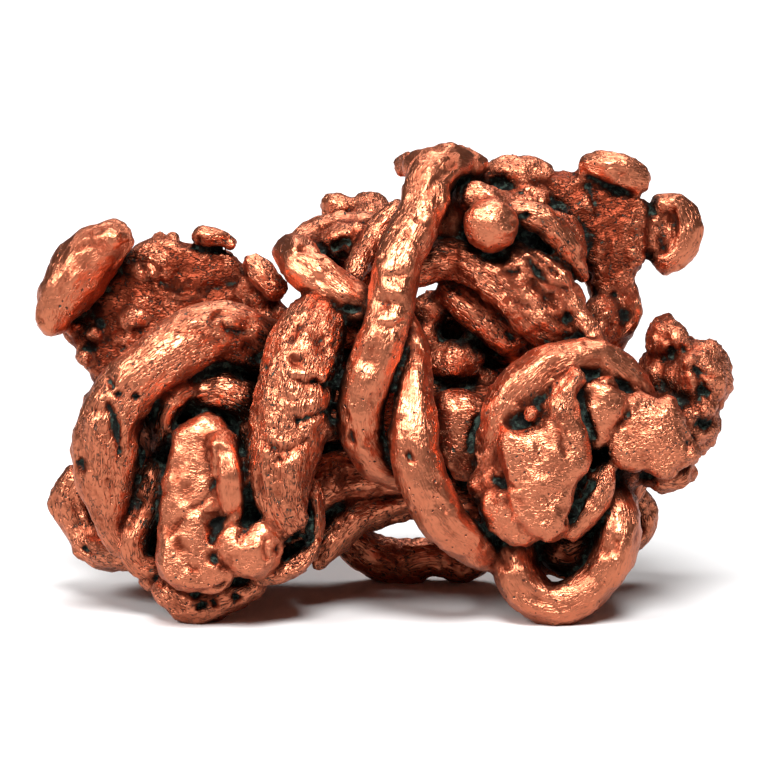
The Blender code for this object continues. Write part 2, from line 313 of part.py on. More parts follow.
def add_rings(bm, rings, first_tip, last_tip):
    """Skins a row of rings and closes its two ends on a point."""
    rows = [[bm.verts.new(point) for point in ring] for ring in rings]
    for row, other in zip(rows, rows[1:]):
        for i in range(len(row)):
            j = (i + 1) % len(row)
            bm.faces.new((row[i], row[j], other[j], other[i]))
    for row, tip, flip in ((rows[0], first_tip, True), (rows[-1], last_tip, False)):
        end = bm.verts.new(tip)
        for i in range(len(row)):
            j = (i + 1) % len(row)
            corners = (row[j], row[i], end) if flip else (row[i], row[j], end)
            bm.faces.new(corners)


def add_strand(bm, stations):
    points = curve_through(stations, STEP)
    centres, sizes = points[:, :3], points[:, 3:5] / 2
    tangents = np.gradient(centres, axis=0)
    across = np.array([1.0, 0, 0])
    outline_across, outline_through = cross_section()
    rings = []

    def ring(centre, along, size, shift, scale):
        through = unit(np.cross(along, across))
        middle = centre + along * shift
        return [
            middle + scale * (a * size[0] * across + b * size[1] * through)
            for a, b in zip(outline_across, outline_through)
        ]

    last = len(centres) - 1
    tips = {}
    for k, (centre, tangent, size) in enumerate(zip(centres, tangents, sizes)):
        along = unit(tangent)
        level = np.cross((0, 0, 1), along)
        if np.linalg.norm(level) > UPRIGHT_ENOUGH:
            level = unit(level)
            across = level if level @ across >= 0 or k == 0 else -level
        across = unit(across - along * (across @ along))
        reach = CAP_REACH * size.min()
        caps = [(reach * math.sin(math.radians(a)), math.cos(math.radians(a))) for a in CAP_ANGLES]
        if k == 0:
            tips[0] = centre - along * reach
            rings += [ring(centre, along, size, -shift, scale) for shift, scale in reversed(caps)]
        rings.append(ring(centre, along, size, 0, 1))
        if k == last:
            tips[1] = centre + along * reach
            rings += [ring(centre, along, size, shift, scale) for shift, scale in caps]
    add_rings(bm, rings, tips[0], tips[1])


def add_lump(bm, lump):
    u, v, d, *half = lump
    place = Matrix.Translation((u, v, d)) @ Matrix.Diagonal((*half, 1))
    bmesh.ops.create_icosphere(bm, subdivisions=BALL_SUBDIVISIONS, radius=1, matrix=place)


def add_slab(bm, slab):
    """A plate with a rounded rim and a slightly domed face, sloping along u and v."""
    depth, thickness, slope_u, slope_v, outline = slab
    closed = [outline[-1], *outline, outline[0], outline[1]]
    edge = curve_through([(u, v, 0) for u, v in closed], STEP)[:, :2]
    start = np.argmin(np.linalg.norm(edge - outline[0], axis=1))
    end = start + 1 + np.argmin(np.linalg.norm(edge[start + 4:] - outline[0], axis=1)) + 3
    edge = edge[start:end]
    middle = edge.mean(axis=0)
    ahead = np.roll(edge, -1, axis=0) - np.roll(edge, 1, axis=0)
    area = np.sum(edge[:, 0] * np.roll(edge[:, 1], -1) - edge[:, 1] * np.roll(edge[:, 0], -1))
    inward = np.stack([-ahead[:, 1], ahead[:, 0]], axis=1) * math.copysign(1, area)
    for _ in range(OUTLINE_EASING):
        inward = (np.roll(inward, 1, axis=0) + 2 * inward + np.roll(inward, -1, axis=0)) / 4
    inward /= np.linalg.norm(inward, axis=1, keepdims=True)
    rim = min(thickness / 2, RIM)
    flat = thickness / 2 - rim

    def level(inset, shrink, rise):
        spot = edge + inward * inset
        spot = middle + (spot - middle) * shrink
        lie = depth + (spot[:, 0] - middle[0]) * slope_u + (spot[:, 1] - middle[1]) * slope_v
        return np.column_stack([spot, lie + rise])

    drawn_in = rim * RIM_DRAWN_IN
    turns = np.radians(RIM_ANGLES)
    rises = [(drawn_in * (1 - math.cos(a)), 1, flat + rim * math.sin(a)) for a in turns]
    rises += [(drawn_in, share, thickness / 2 + height) for share, height in DOME_RINGS]
    rings = [level(inset, shrink, -rise) for inset, shrink, rise in reversed(rises)]
    rings += [level(inset, shrink, rise) for inset, shrink, rise in rises]
    tip = thickness / 2 + DOME
    add_rings(bm, rings, (*middle, depth - tip), (*middle, depth + tip))


def forms_mesh():
    """Every form as a closed skin of its own, still overlapping its neighbours."""
    bm = bmesh.new()
    for stations in STRANDS.values():
        add_strand(bm, stations)
    for cluster in LUMPS.values():
        for lump in cluster:
            add_lump(bm, lump)
    for slab in SLABS.values():
        add_slab(bm, slab)
    bmesh.ops.recalc_face_normals(bm, faces=bm.faces)
    bmesh.ops.scale(bm, vec=(MM, MM, MM), verts=bm.verts)
    mesh = bpy.data.meshes.new("forms")
    bm.to_mesh(mesh)
    bm.free()
    return mesh


def applied(obj):
    """The object's mesh with its modifiers worked in."""
    graph = bpy.context.evaluated_depsgraph_get()
    mesh = bpy.data.meshes.new_from_object(obj.evaluated_get(graph))
    obj.modifiers.clear()
    obj.data = mesh
    return mesh


def fuse(obj):
    """Grows the overlapping forms into one skin and softens the creases between them."""
    remesh = obj.modifiers.new("fuse", "REMESH")
    remesh.mode = "VOXEL"
    remesh.voxel_size = FUSE_CELL * MM
    soften = obj.modifiers.new("soften", "SMOOTH")
    soften.factor = 0.5
    soften.iterations = ROUNDING_PASSES
    applied(obj)


def read_points(mesh, what, attribute):
    values = np.empty(len(what) * 3, np.float32)
    what.foreach_get(attribute, values)
    return values.reshape(-1, 3).astype(float)


def distance_to_path(points, path):
    """How far each point lies from a path, both seen face on."""
    nearest = np.full(len(points), np.inf)
    for start, end in zip(path, path[1:]):
        start, step = np.array(start), np.subtract(end, start)
        share = np.clip((points - start) @ step / (step @ step), 0, 1)
        nearest = np.minimum(nearest, np.linalg.norm(points - start - share[:, None] * step, axis=1))
    return nearest


def relief(mesh):
    """Moves the skin in and out: broad dents, small lumps and the grooves on the front."""
    points = read_points(mesh, mesh.vertices, "co") / MM
    normals = read_points(mesh, mesh.vertex_normals, "vector")
    broad = [noise.noise(Vector(p) / RELIEF_LENGTH) for p in points]
    grit = [noise.noise(Vector(p) / GRIT_LENGTH) for p in points]
    height = RELIEF_HEIGHT * np.array(broad) + GRIT_HEIGHT * np.array(grit)
    facing = np.clip(normals[:, 2], 0, 1)
    for path, width, depth in GROOVES.values():
        away = distance_to_path(points[:, :2], path) / (width / 2)
        height -= depth * facing * np.exp(-away**2)
    points += normals * height[:, None]
    mesh.vertices.foreach_set("co", (points * MM).ravel())
    mesh.update()


def thin_out(obj):
    """Merges small faces, first where the skin is smooth, down to the triangles allowed."""
    fewer = obj.modifiers.new("thin_out", "DECIMATE")
    fewer.ratio = MOST_TRIANGLES / (2 * len(obj.data.polygons))
    applied(obj)


def drop_scraps(bm):
    """Keeps the one body that holds most of the points, without the scraps that merging faces leaves."""
    bodies, met = [], set()
    for seed in bm.verts:
        if seed in met:
            continue
        body, edge = {seed}, [seed]
        while edge:
            near = {link.other_vert(vert) for vert in edge for link in vert.link_edges}
            edge = near - body
            body |= edge
        met |= body
        bodies.append(body)
    bodies.sort(key=len)
    bmesh.ops.delete(bm, geom=[vert for body in bodies[:-1] for vert in body], context="VERTS")


def stand(mesh):
    """Leans the nugget onto its three low points and cuts them flat where they meet the ground."""
    bm = bmesh.new()
    bm.from_mesh(mesh)
    drop_scraps(bm)
    lean = Matrix.Rotation(math.radians(90 - LEAN), 4, "X")
    bmesh.ops.transform(bm, matrix=lean @ Matrix.Translation(-MM * Vector(STANDS_AT)), verts=bm.verts)
    whole = [*bm.verts, *bm.edges, *bm.faces]
    bmesh.ops.bisect_plane(bm, geom=whole, plane_co=(0, 0, 0), plane_no=(0, 0, 1), clear_inner=True)
    rims = [edge for edge in bm.edges if edge.is_boundary]
    bmesh.ops.edgeloop_fill(bm, edges=rims)
    bmesh.ops.triangulate(bm, faces=bm.faces)
    bmesh.ops.recalc_face_normals(bm, faces=bm.faces)
    bm.to_mesh(mesh)
    bm.free()


def copper():
    material = bpy.data.materials.new("native copper")
    material.use_nodes = True
    surface = material.node_tree.nodes["Principled BSDF"]
    surface.inputs["Base Color"].default_value = COPPER
    surface.inputs["Metallic"].default_value = 1.0
    surface.inputs["Roughness"].default_value = COPPER_ROUGHNESS
    return material


def main():
    for obj in list(bpy.data.objects):
        bpy.data.objects.remove(obj)
    nugget = bpy.data.objects.new("copper_nugget", forms_mesh())
    bpy.context.scene.collection.objects.link(nugget)
    fuse(nugget)
    relief(nugget.data)
    thin_out(nugget)
    stand(nugget.data)
    nugget.data.materials.append(copper())
    nugget.data.shade_smooth()


main()
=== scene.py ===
"""A native copper nugget: rope-like strands, plates and lumps grown together, as a Blender add-on.

Every form is placed in the nugget's own face-on frame, in millimetres: u runs right, v up and d towards
the front. The forms are fused into one skin, which gets its dents, wrinkles and pits, is leaned back onto
three low points and is cut flat where they meet the ground.
"""

import math

import bmesh
import bpy
import numpy as np
from bpy.props import FloatProperty, FloatVectorProperty, IntProperty, PointerProperty
from mathutils import Matrix, Vector
from mathutils.bvhtree import BVHTree
from mathutils.kdtree import KDTree


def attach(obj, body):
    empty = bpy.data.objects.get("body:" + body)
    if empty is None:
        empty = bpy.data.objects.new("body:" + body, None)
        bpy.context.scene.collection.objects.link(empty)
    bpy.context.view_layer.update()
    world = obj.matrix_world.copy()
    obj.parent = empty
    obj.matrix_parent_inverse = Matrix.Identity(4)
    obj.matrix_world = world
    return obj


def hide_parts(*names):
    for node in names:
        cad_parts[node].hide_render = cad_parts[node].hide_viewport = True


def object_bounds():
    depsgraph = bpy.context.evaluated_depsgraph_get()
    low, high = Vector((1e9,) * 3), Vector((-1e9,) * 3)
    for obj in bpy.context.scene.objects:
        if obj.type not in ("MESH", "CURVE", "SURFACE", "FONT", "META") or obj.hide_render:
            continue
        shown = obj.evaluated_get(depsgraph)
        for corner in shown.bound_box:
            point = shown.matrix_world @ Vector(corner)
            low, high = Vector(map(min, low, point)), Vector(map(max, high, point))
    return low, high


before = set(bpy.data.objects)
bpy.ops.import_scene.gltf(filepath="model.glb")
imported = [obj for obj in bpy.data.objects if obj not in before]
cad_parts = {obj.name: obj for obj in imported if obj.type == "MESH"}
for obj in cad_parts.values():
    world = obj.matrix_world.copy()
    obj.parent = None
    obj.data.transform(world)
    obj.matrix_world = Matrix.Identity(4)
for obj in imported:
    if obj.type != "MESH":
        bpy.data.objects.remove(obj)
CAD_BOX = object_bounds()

bl_info = {
    "name": "Native Copper Nugget",
    "version": (1, 0, 0),
    "blender": (4, 5, 0),
    "location": "View3D > Sidebar > Copper",
    "description": "Grows a knotted native copper nugget and lays the studio round it",
    "category": "Add Mesh",
}

MM = 0.001
NODE = "copper_nugget"

# How finely the forms are drawn before they are fused.
STEP = 0.8  # along a strand
SIDES = 20  # around a strand
CORNER = 2.4  # exponent of the cross-section: 2 is an ellipse, more is boxier
CAP_ANGLES = (12, 25, 38, 50, 62, 74)  # rings of a rounded end
CAP_REACH = 0.9  # how far a rounded end runs on, as a share of the strand's half size
UPRIGHT_ENOUGH = 0.35  # a strand less tilted than this towards the front keeps its last direction across
BALL_SUBDIVISIONS = 3  # of the ball that a lump is squeezed from
RIM = 1.9  # radius of a slab's rounded rim
RIM_ANGLES = (0, 15, 30, 45, 60, 75)  # rings of that rim
RIM_DRAWN_IN = 0.8  # how far the rim draws in, as a share of its radius
DOME_RINGS = ((0.85, 0.05), (0.6, 0.3), (0.35, 0.5))  # each ring's share of the outline, and its height
DOME = 0.6  # height of the dome
OUTLINE_EASING = 4  # passes that even out the directions in which an outline draws in
TURN_PAST = 4  # points of an outline to go on by before its end can be looked for
GRAIN_SQUEEZE = 0.3  # of the grain along a strand, which makes its wrinkles longer than wide
SLAB_SQUEEZE = 0.6  # of the grain along u on a slab
GRAIN_APART = 31.7  # puts each form's grain somewhere else in the pattern

# How the fused skin is worked. Lengths are in millimetres.
SMOOTHING = 0.5  # how far one pass draws a point towards its neighbours
CREASE_PASSES = 30  # of averaging, for the skin's mean level when creases are deepened
CREASE_MOST = 0.7  # how deep a crease counts at most
FACET_SEED, CHIP_SEED = 5, 11
FACET_TILT = 0.1  # spread of the directions of neighbouring facets
FACET_MOST = 0.6  # how far a point is beaten at most
FACET_SWAY = 0.3  # how far the borders of facets sway, as a share of their spacing
FACET_SWAY_TURNS = 2.3  # how fast they sway
GROOVE_WIDER = 1.25  # a groove's width on the skin, as a share of the width listed for it
GROOVE_LEAST = 0.55  # width of the narrowest groove
GROOVE_REACH = 12  # how far from its middle a groove is looked for
GROOVE_FACING = 0.05  # how much a point faces the front before a groove can cut it
FACING_GAIN = 1.6  # how soon a point that faces the front is cut to the full depth
CUT_ALONG_NORMAL, CUT_BACK = 0.6, 0.4  # shares of a cut that go along the normal and straight back
BEATEN_ROUNDING = 2  # passes that take the edge off the facets
FRONT_CELL = 0.7  # of the grid that tells the front-most points
GROOVE_BEHIND = 1.6  # how far behind the front-most point of its cell a groove still cuts
FRONT_BEHIND, FRONT_FACING = 3.0, -0.2  # the same depth, and the facing, that count as front when thinning
SHADE_RAYS, SHADE_REACH = 14, 9.0  # rays from each point, and how far they go
SHADE_CLEAR = 0.06  # how far off the skin they start
SHADE_NEARNESS = 0.8  # exponent of what a hit counts, by its distance: nearer things darken more
SHADE_EASING = 2  # passes that even out the shade
PROUD_PASSES = 12  # of averaging, for the level that a point stands proud of

# The finish, where the panel doesn't set it. A scale is how many of a pattern there are to a millimetre.
PATCH_SCALE, SPECKLE_SCALE = 0.19, 1.7
FACET_SCALE, FOLD_SCALE, DOT_SCALE = 1.15, 1.7, 1.25
BEND_SCALE, BEND_REACH = 0.7, 1.3
PAINTED_SHADE_COLOUR = (0.03, 0.009, 0.005)  # colour of the painted shade, where little light reaches the copper
CRUST_ROUGHNESS, CRUST_SPECULAR = 0.75, 0.3
FLOOR_ROUGHNESS = 0.9

# The camera.
SENSOR_WIDTH = 36
CLIP_NEAR, CLIP_FAR = 0.1, 50  # metres
LOOKS_AT = (0, 30, 8)  # u, v and d

# A strand is a list of stations: u, v, d, width across and thickness from front to back.
STRANDS = {
    "left_lobe": [(-33.85, 48.4, -2.6, 5, 6.5), (-35.75, 47.2, -2.6, 7.2, 7), (-37.75, 45.2, -3, 7.8, 7.4),
        (-39.45, 42.6, -3, 7.4, 7.2), (-41.05, 40.1, -3, 6.2, 6.4), (-41.85, 38, -3, 4.6, 5)],
    "left_knob_high": [(-23, 48.9, -4.5, 2.5, 4), (-20.6, 48.6, -4.5, 2.2, 4), (-19, 47.8, -4.5, 1.8, 3)],
    "left_knob_low": [(-16.8, 45.3, -3, 2.4, 4), (-15.4, 43.8, -2.5, 3.5, 4.5), (-13.7, 42.1, -2, 3.6, 4)],
    "big_arc": [(-13.3, 33.7, 6.6, 7, 8), (-18, 35.9, 8, 8.3, 9), (-22.4, 36.1, 10, 8.5, 9.5),
        (-26.8, 33.6, 12, 8.2, 9.5), (-30.4, 30.8, 13, 7.6, 9), (-32.8, 28, 13, 7.8, 9),
        (-34.2, 25.2, 13, 8.4, 8.5), (-34.6, 22.3, 12.5, 8.8, 8), (-34.8, 19.2, 12, 8.2, 7.5),
        (-34.6, 16, 11, 6.4, 7), (-34.4, 12.5, 9.5, 4, 5.5), (-33.4, 9.6, 8, 2.4, 4.5)],
    "outer_lobe": [(-38.5, 17.9, -3, 4.6, 5), (-39.3, 15.2, -4, 6, 6), (-37.9, 11.8, -4, 5.2, 6),
        (-36.6, 9.8, -3, 5.2, 6), (-34.6, 8.9, -1, 4.8, 6), (-31.5, 8.6, 3, 4.4, 6)],
    "inner_strand": [(-28, 20.8, 6, 3, 5), (-29, 17.6, 8.4, 4.2, 6), (-29.9, 14.6, 9, 4.4, 6),
        (-30.9, 12, 9.4, 4.4, 6), (-31.2, 9.8, 9.4, 4, 5.5), (-30.6, 7.9, 9, 3.2, 5.5),
        (-28.6, 7, 9, 3, 5.5), (-26, 6.6, 9, 3, 5.5)],
    "arc_leaf": [(-24.8, 29.1, 10.6, 2.2, 5), (-26.1, 28, 11.6, 3.3, 5.5), (-27.1, 26.4, 11.6, 3.3, 5.5),
        (-27.4, 24.6, 10.6, 2.9, 5.5), (-28, 22.9, 9, 2.2, 5)],
    "inner_ring": [(-26, 27.5, 8, 3.2, 5), (-23.4, 28.8, 9, 4.8, 6.5), (-20.8, 29.1, 9.4, 5.4, 7),
        (-18.2, 28.2, 9.4, 5.6, 7), (-16.5, 26.2, 8.6, 5.8, 7), (-15.4, 22.5, 9, 5.5, 7)],
    "slab_side": [(-20, 22, 17, 4.2, 8), (-19.4, 19.5, 17.6, 4.5, 8.2), (-19.1, 16.8, 17.4, 4.4, 8),
        (-19.1, 14.5, 16, 4.2, 8)],
    "foot": [(-27, 4.3, 10, 3.8, 7), (-24.3, 3, 10.8, 6.2, 8), (-21.4, 3.3, 11.2, 5.8, 8),
        (-18.4, 4, 12.4, 3.9, 7), (-16.2, 5, 13.4, 3.1, 6)],
    "upright": [(-7.9, 38.1, 8, 5.6, 7), (-8.9, 36.6, 13, 8.4, 9.5), (-10, 33.6, 15, 9.8, 11),
        (-10.9, 29.9, 16, 9.7, 11), (-11.6, 26.1, 16.5, 9.9, 11), (-12.1, 23.6, 16.5, 9.8, 11),
        (-12.9, 20.5, 17, 9, 11), (-13, 17.4, 17, 8.4, 10), (-12.6, 14.5, 16.5, 6.6, 9),
        (-11.5, 12.2, 15, 3.6, 7)],
    "curl": [(-8.9, 17.5, 13, 2.4, 5), (-8.2, 14, 14, 2.2, 5), (-8.4, 11, 14, 2.3, 5),
        (-9.6, 8.8, 14, 2.6, 5), (-11.4, 7.3, 14, 3, 5.5), (-13.6, 6.5, 14.5, 3.2, 5.5),
        (-15.6, 6.5, 15.5, 3.2, 5.5)],
    "hook": [(-10, 45, 2, 5.5, 6), (-10.9, 46, 6, 5.4, 6.5), (-10.1, 44.9, 9.5, 5.5, 7),
        (-8.2, 43.4, 10.5, 5.6, 7.5), (-6, 41.8, 11, 5.6, 7.5), (-3.8, 40.2, 11, 5.6, 7.5),
        (-1.2, 38.5, 10, 5.6, 7)],
    "hook_ring": [(-10.9, 46.1, 3, 5, 5.5), (-9.8, 47.9, 0, 4.7, 5), (-7.5, 49.1, -2, 4.4, 5.5),
        (-4.8, 49.8, -2, 4.4, 5.5), (-2, 49.5, -1.6, 4.4, 5.5), (0.2, 48.2, -1, 4.2, 5.5),
        (1.6, 46, 3, 3.8, 5.5)],
    "thin_strand": [(1.8, 51.9, 1.6, 3.2, 5), (0.4, 50.5, 2, 3.8, 5), (-1.2, 48.2, 3, 3.9, 5),
        (-2.8, 45.8, 5, 3.5, 5), (-4, 43.4, 7.5, 2.8, 4)],
    "long_strand": [(10.4, 57.2, 2, 4.4, 5), (8.9, 57.8, 5, 4.8, 6), (6.9, 57.2, 8, 5.4, 6.5),
        (5.5, 55.2, 10, 6.2, 6.5), (5.2, 52.8, 11.5, 6.2, 6.5), (4, 49.8, 13, 6, 6.5),
        (2, 46.1, 15, 6, 6.5), (1.2, 42.4, 16, 6, 6.5), (0.6, 38.6, 17, 6.1, 6.5),
        (-0.8, 34.2, 17.5, 6.2, 6.8), (-2.2, 29.9, 17.5, 6.3, 7), (-3, 26.1, 17, 5.7, 7),
        (-2.5, 23, 16, 5.2, 7), (-0.9, 20.4, 14, 5, 6.5), (1.6, 19, 12, 4.4, 6)],
    "second_strand": [(2.6, 38, 9, 3.2, 6), (3.8, 34.4, 13, 3.7, 6.5), (3.9, 30.5, 16, 4.5, 6.5),
        (3.7, 26.8, 18, 5.4, 6.5), (3.6, 23, 19, 6.3, 6.8), (4.4, 19.4, 19, 6.5, 7),
        (5.8, 15.9, 18.5, 6.2, 7), (7.7, 12.6, 17.5, 6, 6.8), (10.1, 10.8, 15.5, 5.3, 6.5),
        (12, 9.2, 12, 4.6, 6), (13.6, 8.5, 8, 4, 6)],
    "bridge": [(14.6, 51.1, 7, 3.4, 5), (17.2, 51.4, 8.4, 3.9, 5.4), (19.9, 50.6, 8.6, 4, 5.4),
        (21.9, 48.8, 8.2, 4.1, 5.2), (23.2, 46.8, 7.4, 3.8, 5), (24, 45.4, 6.4, 2.6, 5),
        (24.4, 44.6, 5, 1.8, 4.5)],
    "rough_strand": [(4, 44.8, 8, 4.9, 6), (8.2, 45.6, 7, 5.6, 6.4), (11, 44.8, 7.4, 5.4, 6.4),
        (13.9, 43.1, 8.2, 5.9, 6.6), (16.8, 40.9, 8.2, 6.3, 6.6), (19.5, 38.2, 8.2, 6.6, 6.6),
        (22.5, 36, 8, 5.8, 6.2)],
    "rough_edge": [(17, 46.2, 8.5, 2.6, 4.5), (19.1, 45.6, 9, 2.8, 4.5), (21.4, 44, 9, 2.8, 4.5),
        (22.8, 41.8, 9, 2.8, 4.5), (24.1, 39.2, 9, 2.8, 4.5), (25.8, 36.6, 9.5, 2.8, 4.5),
        (27, 34.6, 10, 2.6, 4.5)],
    "rough_ridge": [(18, 44.2, 9.5, 1.7, 3), (20.1, 42.9, 9.8, 1.7, 3), (22, 41.5, 9.5, 1.7, 3)],
    "sausage": [(8.5, 41.7, 4.6, 4.4, 5), (10.5, 40.1, 5.1, 4.9, 5.5), (13.1, 38, 5.1, 4.9, 5.5),
        (15.8, 35.7, 5.1, 4.7, 5.5)],
    "under_sausage": [(11, 34.4, -1, 2.6, 5), (14.5, 33.6, 0, 2.8, 5), (18, 33, 3, 2.8, 5)],
    "corner_lobe": [(25.5, 57.6, 0, 3, 5), (27.5, 57.5, 0, 4.4, 5.5), (29.8, 56.8, 0, 4.8, 5.5),
        (31.8, 55.9, 0, 4.2, 5)],
    "ear": [(34.9, 53, -2, 2.6, 5), (37.1, 52.3, -2, 3.6, 5), (38.2, 49.8, -2, 4.2, 5),
        (37.3, 46.9, -2, 4.2, 5), (35.4, 45.5, -2, 3.4, 5)],
    "stem": [(28.5, 43.4, -3, 5, 5.5), (28.7, 40, -3, 5.5, 5.5), (29.4, 37.4, -3, 4.4, 5.5),
        (28.5, 34.9, -2, 3.4, 6)],
    "stem_leaf": [(30.8, 42.2, -1.5, 1.8, 4), (31.7, 39.6, -1, 2.1, 4), (30.9, 37.2, -1, 2.1, 4),
        (29.1, 36.3, -1, 2, 4)],
    "right_arc": [(14.1, 19.2, 13, 5.4, 8), (14.9, 23.8, 14.8, 6.8, 8.5), (16.2, 27.8, 15.2, 7, 8.5),
        (18.2, 30.1, 15.2, 6.8, 8.5), (20.4, 31.9, 14.8, 6.2, 8), (22.8, 33, 14.2, 5.4, 7.5),
        (26, 33.4, 13.2, 4.8, 7), (29.1, 32.2, 12.4, 4.5, 6.5), (31.4, 30.1, 11, 4, 6),
        (32.6, 27.5, 9, 4, 6)],
    "slab_neck": [(21.6, 26.8, 18.6, 4.2, 6), (22.4, 29, 18.6, 3.4, 5.5), (23.7, 30.8, 17.6, 2.8, 5)],
    "loop_leaf": [(27.5, 18.8, 13.5, 2.8, 5.4), (26.6, 17.1, 14.4, 4.6, 6), (25.5, 15.1, 15, 4.6, 6),
        (24.2, 13, 15.2, 3.8, 5.6), (23.1, 11.6, 15, 2.4, 4.4)],
    "back_lip": [(34, 18.6, 7, 3.4, 6), (36.4, 18.2, 6, 3.4, 6), (37.6, 19.6, 5, 2.8, 6)],
    "loop": [(16, 12.2, 9, 5, 7), (16.1, 9.2, 11, 6, 8), (16.7, 6.2, 12, 6, 8), (18.3, 3.8, 12, 5.8, 8),
        (21.2, 2.6, 12, 5.6, 8), (24.8, 3.9, 12, 5.4, 8), (27.5, 6.8, 12, 5.4, 8), (28.9, 9.7, 12, 6, 8),
        (29.2, 12.8, 11, 5.7, 8), (28.5, 15.9, 9, 5.2, 7.5), (27.4, 19, 6, 4.8, 7)],
    "loop_core": [(20.8, 10.8, 9, 4.8, 5.4), (22.9, 9.1, 9.4, 6.4, 6), (25.4, 11.2, 8.4, 5.2, 5.4),
        (26, 14, 4, 5, 6)],
    "loop_back": [(22.6, 8.6, 4, 6.4, 6), (23, 11, 0, 6.4, 7), (22.5, 14, -4, 5.5, 7)],
    "strut": [(28.6, 19.4, 4, 2.6, 5), (29.8, 17.4, -2, 2.6, 4), (30.8, 15.8, -9, 3, 4)],
    "low_strand": [(-8, 8.4, 3, 3, 6), (-6.5, 10.2, 4, 4.2, 6.5), (-4.9, 12.2, 4, 5, 6.5),
        (-2.8, 14, 4, 5, 6.5), (-0.2, 14.9, 4, 4.2, 6), (3, 15.6, 4, 3.6, 6)],
    "low_link": [(-4, 12.6, 1, 3.6, 6), (-1.6, 12.8, -3, 3, 5.5), (1.4, 13.7, -4, 3, 5.5),
        (5.5, 15.6, -2, 4, 6.5)],
    "rest_loop": [(-6.2, 13.3, -14, 4.5, 6), (-4.8, 10.8, -14.5, 4.8, 6), (-2, 8.6, -15, 5.4, 6.5),
        (0.8, 7.6, -16, 6, 6.5), (3.2, 7.4, -16, 6, 6.5), (5.2, 8, -15, 5.2, 6), (7.3, 8, -15, 4.8, 6),
        (9.8, 7.2, -15, 5, 6.5), (12.8, 8.6, -14, 4.4, 6), (17, 10.8, -12, 4.6, 6.5), (22, 12, -12, 5, 7)],
    "rear_ear": [(28, 17.5, -12, 4, 6), (31.5, 16, -14, 3.4, 5), (33, 13.9, -15, 3.6, 5),
        (32.9, 11.8, -16, 3.4, 5), (31.1, 10.2, -15, 3.2, 5), (27, 11, -13, 4, 6)],
    "heart_left_high": [(-32, 27.5, 4, 7, 8), (-26, 31, 3, 7, 8), (-18, 32.5, 2, 7, 8)],
    "heart_high": [(-7.5, 36.6, 1, 7, 8), (-3, 38, 0, 7.5, 8), (1, 37.4, 1, 6, 8)],
    "heart_left": [(-31, 30, 5, 6, 8), (-27, 23, 3, 7, 9), (-23, 15, 2, 8, 10), (-21, 8, 3, 7, 9)],
    "heart_middle": [(-20, 33, 0, 8, 9), (-12, 29, 0, 11, 12), (-3, 27, 0, 12, 13), (8, 26, 0, 11, 13),
        (19, 24, 2, 11, 13), (29, 24, 3, 9, 12), (35, 24, 2, 7, 10)],
    "heart_low": [(-22, 12, 4, 6, 9), (-14, 14, 4, 7, 10), (-6, 18, 4, 7, 10), (3, 18.5, 4, 6, 10),
        (11, 16.5, 4, 7, 10), (20, 16, 3, 7, 10), (27, 17, 2, 7, 10)],
    "rear_sweep": [(-32.6, 33, -9, 6, 6), (-34.4, 27, -10, 6.2, 7), (-34.4, 20, -12, 7, 7.5),
        (-30, 14, -14, 7, 8), (-22, 11.5, -15, 6.5, 7.5), (-14, 12.5, -15, 6, 7), (-7.5, 13, -14, 5, 6.5)],
    "rear_upright": [(-3, 50, -12.5, 5, 7), (-3.2, 46, -13.5, 6, 7.5), (-4.4, 40, -15, 6.8, 8),
        (-6, 33, -16, 7.6, 8), (-8, 26, -16, 7.6, 8), (-8.4, 20, -15.5, 6.6, 7.5),
        (-7, 14.5, -14.5, 5.2, 6.8)],
    "rear_cross": [(-30, 38, -10, 7, 6), (-24, 34, -12, 7, 7), (-14, 31.5, -14, 7, 7.5),
        (-2, 32, -15, 7, 8), (8, 34, -14, 7, 7.5), (17, 35, -12, 7, 7.5), (25, 36, -9, 6, 7),
        (29, 39, -6, 5, 6)],
    "rear_arc": [(27, 46, -6, 6, 6), (28.2, 41, -8.5, 4.2, 6), (27.2, 36.5, -10.5, 4, 6.5),
        (27.4, 32.5, -12, 5, 7), (30.6, 27, -13, 6.2, 8), (28.6, 20, -13.5, 6.6, 8),
        (23, 15.5, -12, 6, 7.5)],
    "rear_saddle": [(-1, 36.2, -13, 7, 7), (7, 36.8, -12.5, 7, 8), (15, 38, -11, 7, 8)],
    "rear_ridge": [(-3, 47.4, -11, 6, 7), (5.4, 48.6, -8.4, 6.2, 7), (13, 49, -5.4, 6, 7)],
    "rear_thread": [(-28, 19.4, -12.6, 5.5, 6.5), (-20, 18.2, -14.6, 5.5, 6.5),
        (-13, 19.4, -15.4, 5.2, 6.5)],
    "rear_tie_left": [(-20, 31, -2, 8, 8), (-22, 27, -8, 8, 8), (-26, 22, -12, 7, 8)],
    "rear_tie_middle": [(2, 26, -2, 10, 10), (3, 24, -9, 8, 9), (2, 20, -14, 6.5, 8), (-5, 17, -15, 6, 7)],
    "rear_tie_right": [(22, 25, 0, 10, 9), (24, 25, -7, 8, 8), (27, 25, -13, 7, 8)],
    "rear_fill_left": [(-34.4, 27, 1, 7, 9), (-34.8, 20, -2, 7, 9), (-32, 14, -4.5, 7, 9),
        (-26, 9.8, -6, 6, 9)],
    "rear_fill_right": [(31, 24, -3, 7, 9), (29.6, 16.6, -5.6, 6, 8), (23, 13.4, -5.6, 6, 8)],
    "rear_fill_low": [(29, 14.6, 6, 5, 7), (29.4, 12.6, -2, 6, 7), (28.4, 13.4, -9, 6, 7)],
    "under_left": [(-20.5, 9.6, -2, 6.5, 8), (-13, 10.6, -5, 6.5, 8), (-7, 13, -8, 6, 7)],
    "rear_fill_middle": [(-18, 18, -6, 9, 9), (-9, 20, -7, 9, 9), (2, 22, -7, 9, 9), (12, 20, -8, 9, 9),
        (20, 18, -7, 8, 9)],
    "rear_tie_low": [(-7, 17.5, -13.5, 5, 6.5), (0, 16.4, -12.5, 5, 6.5), (9, 15.8, -13.5, 5, 6.5)],
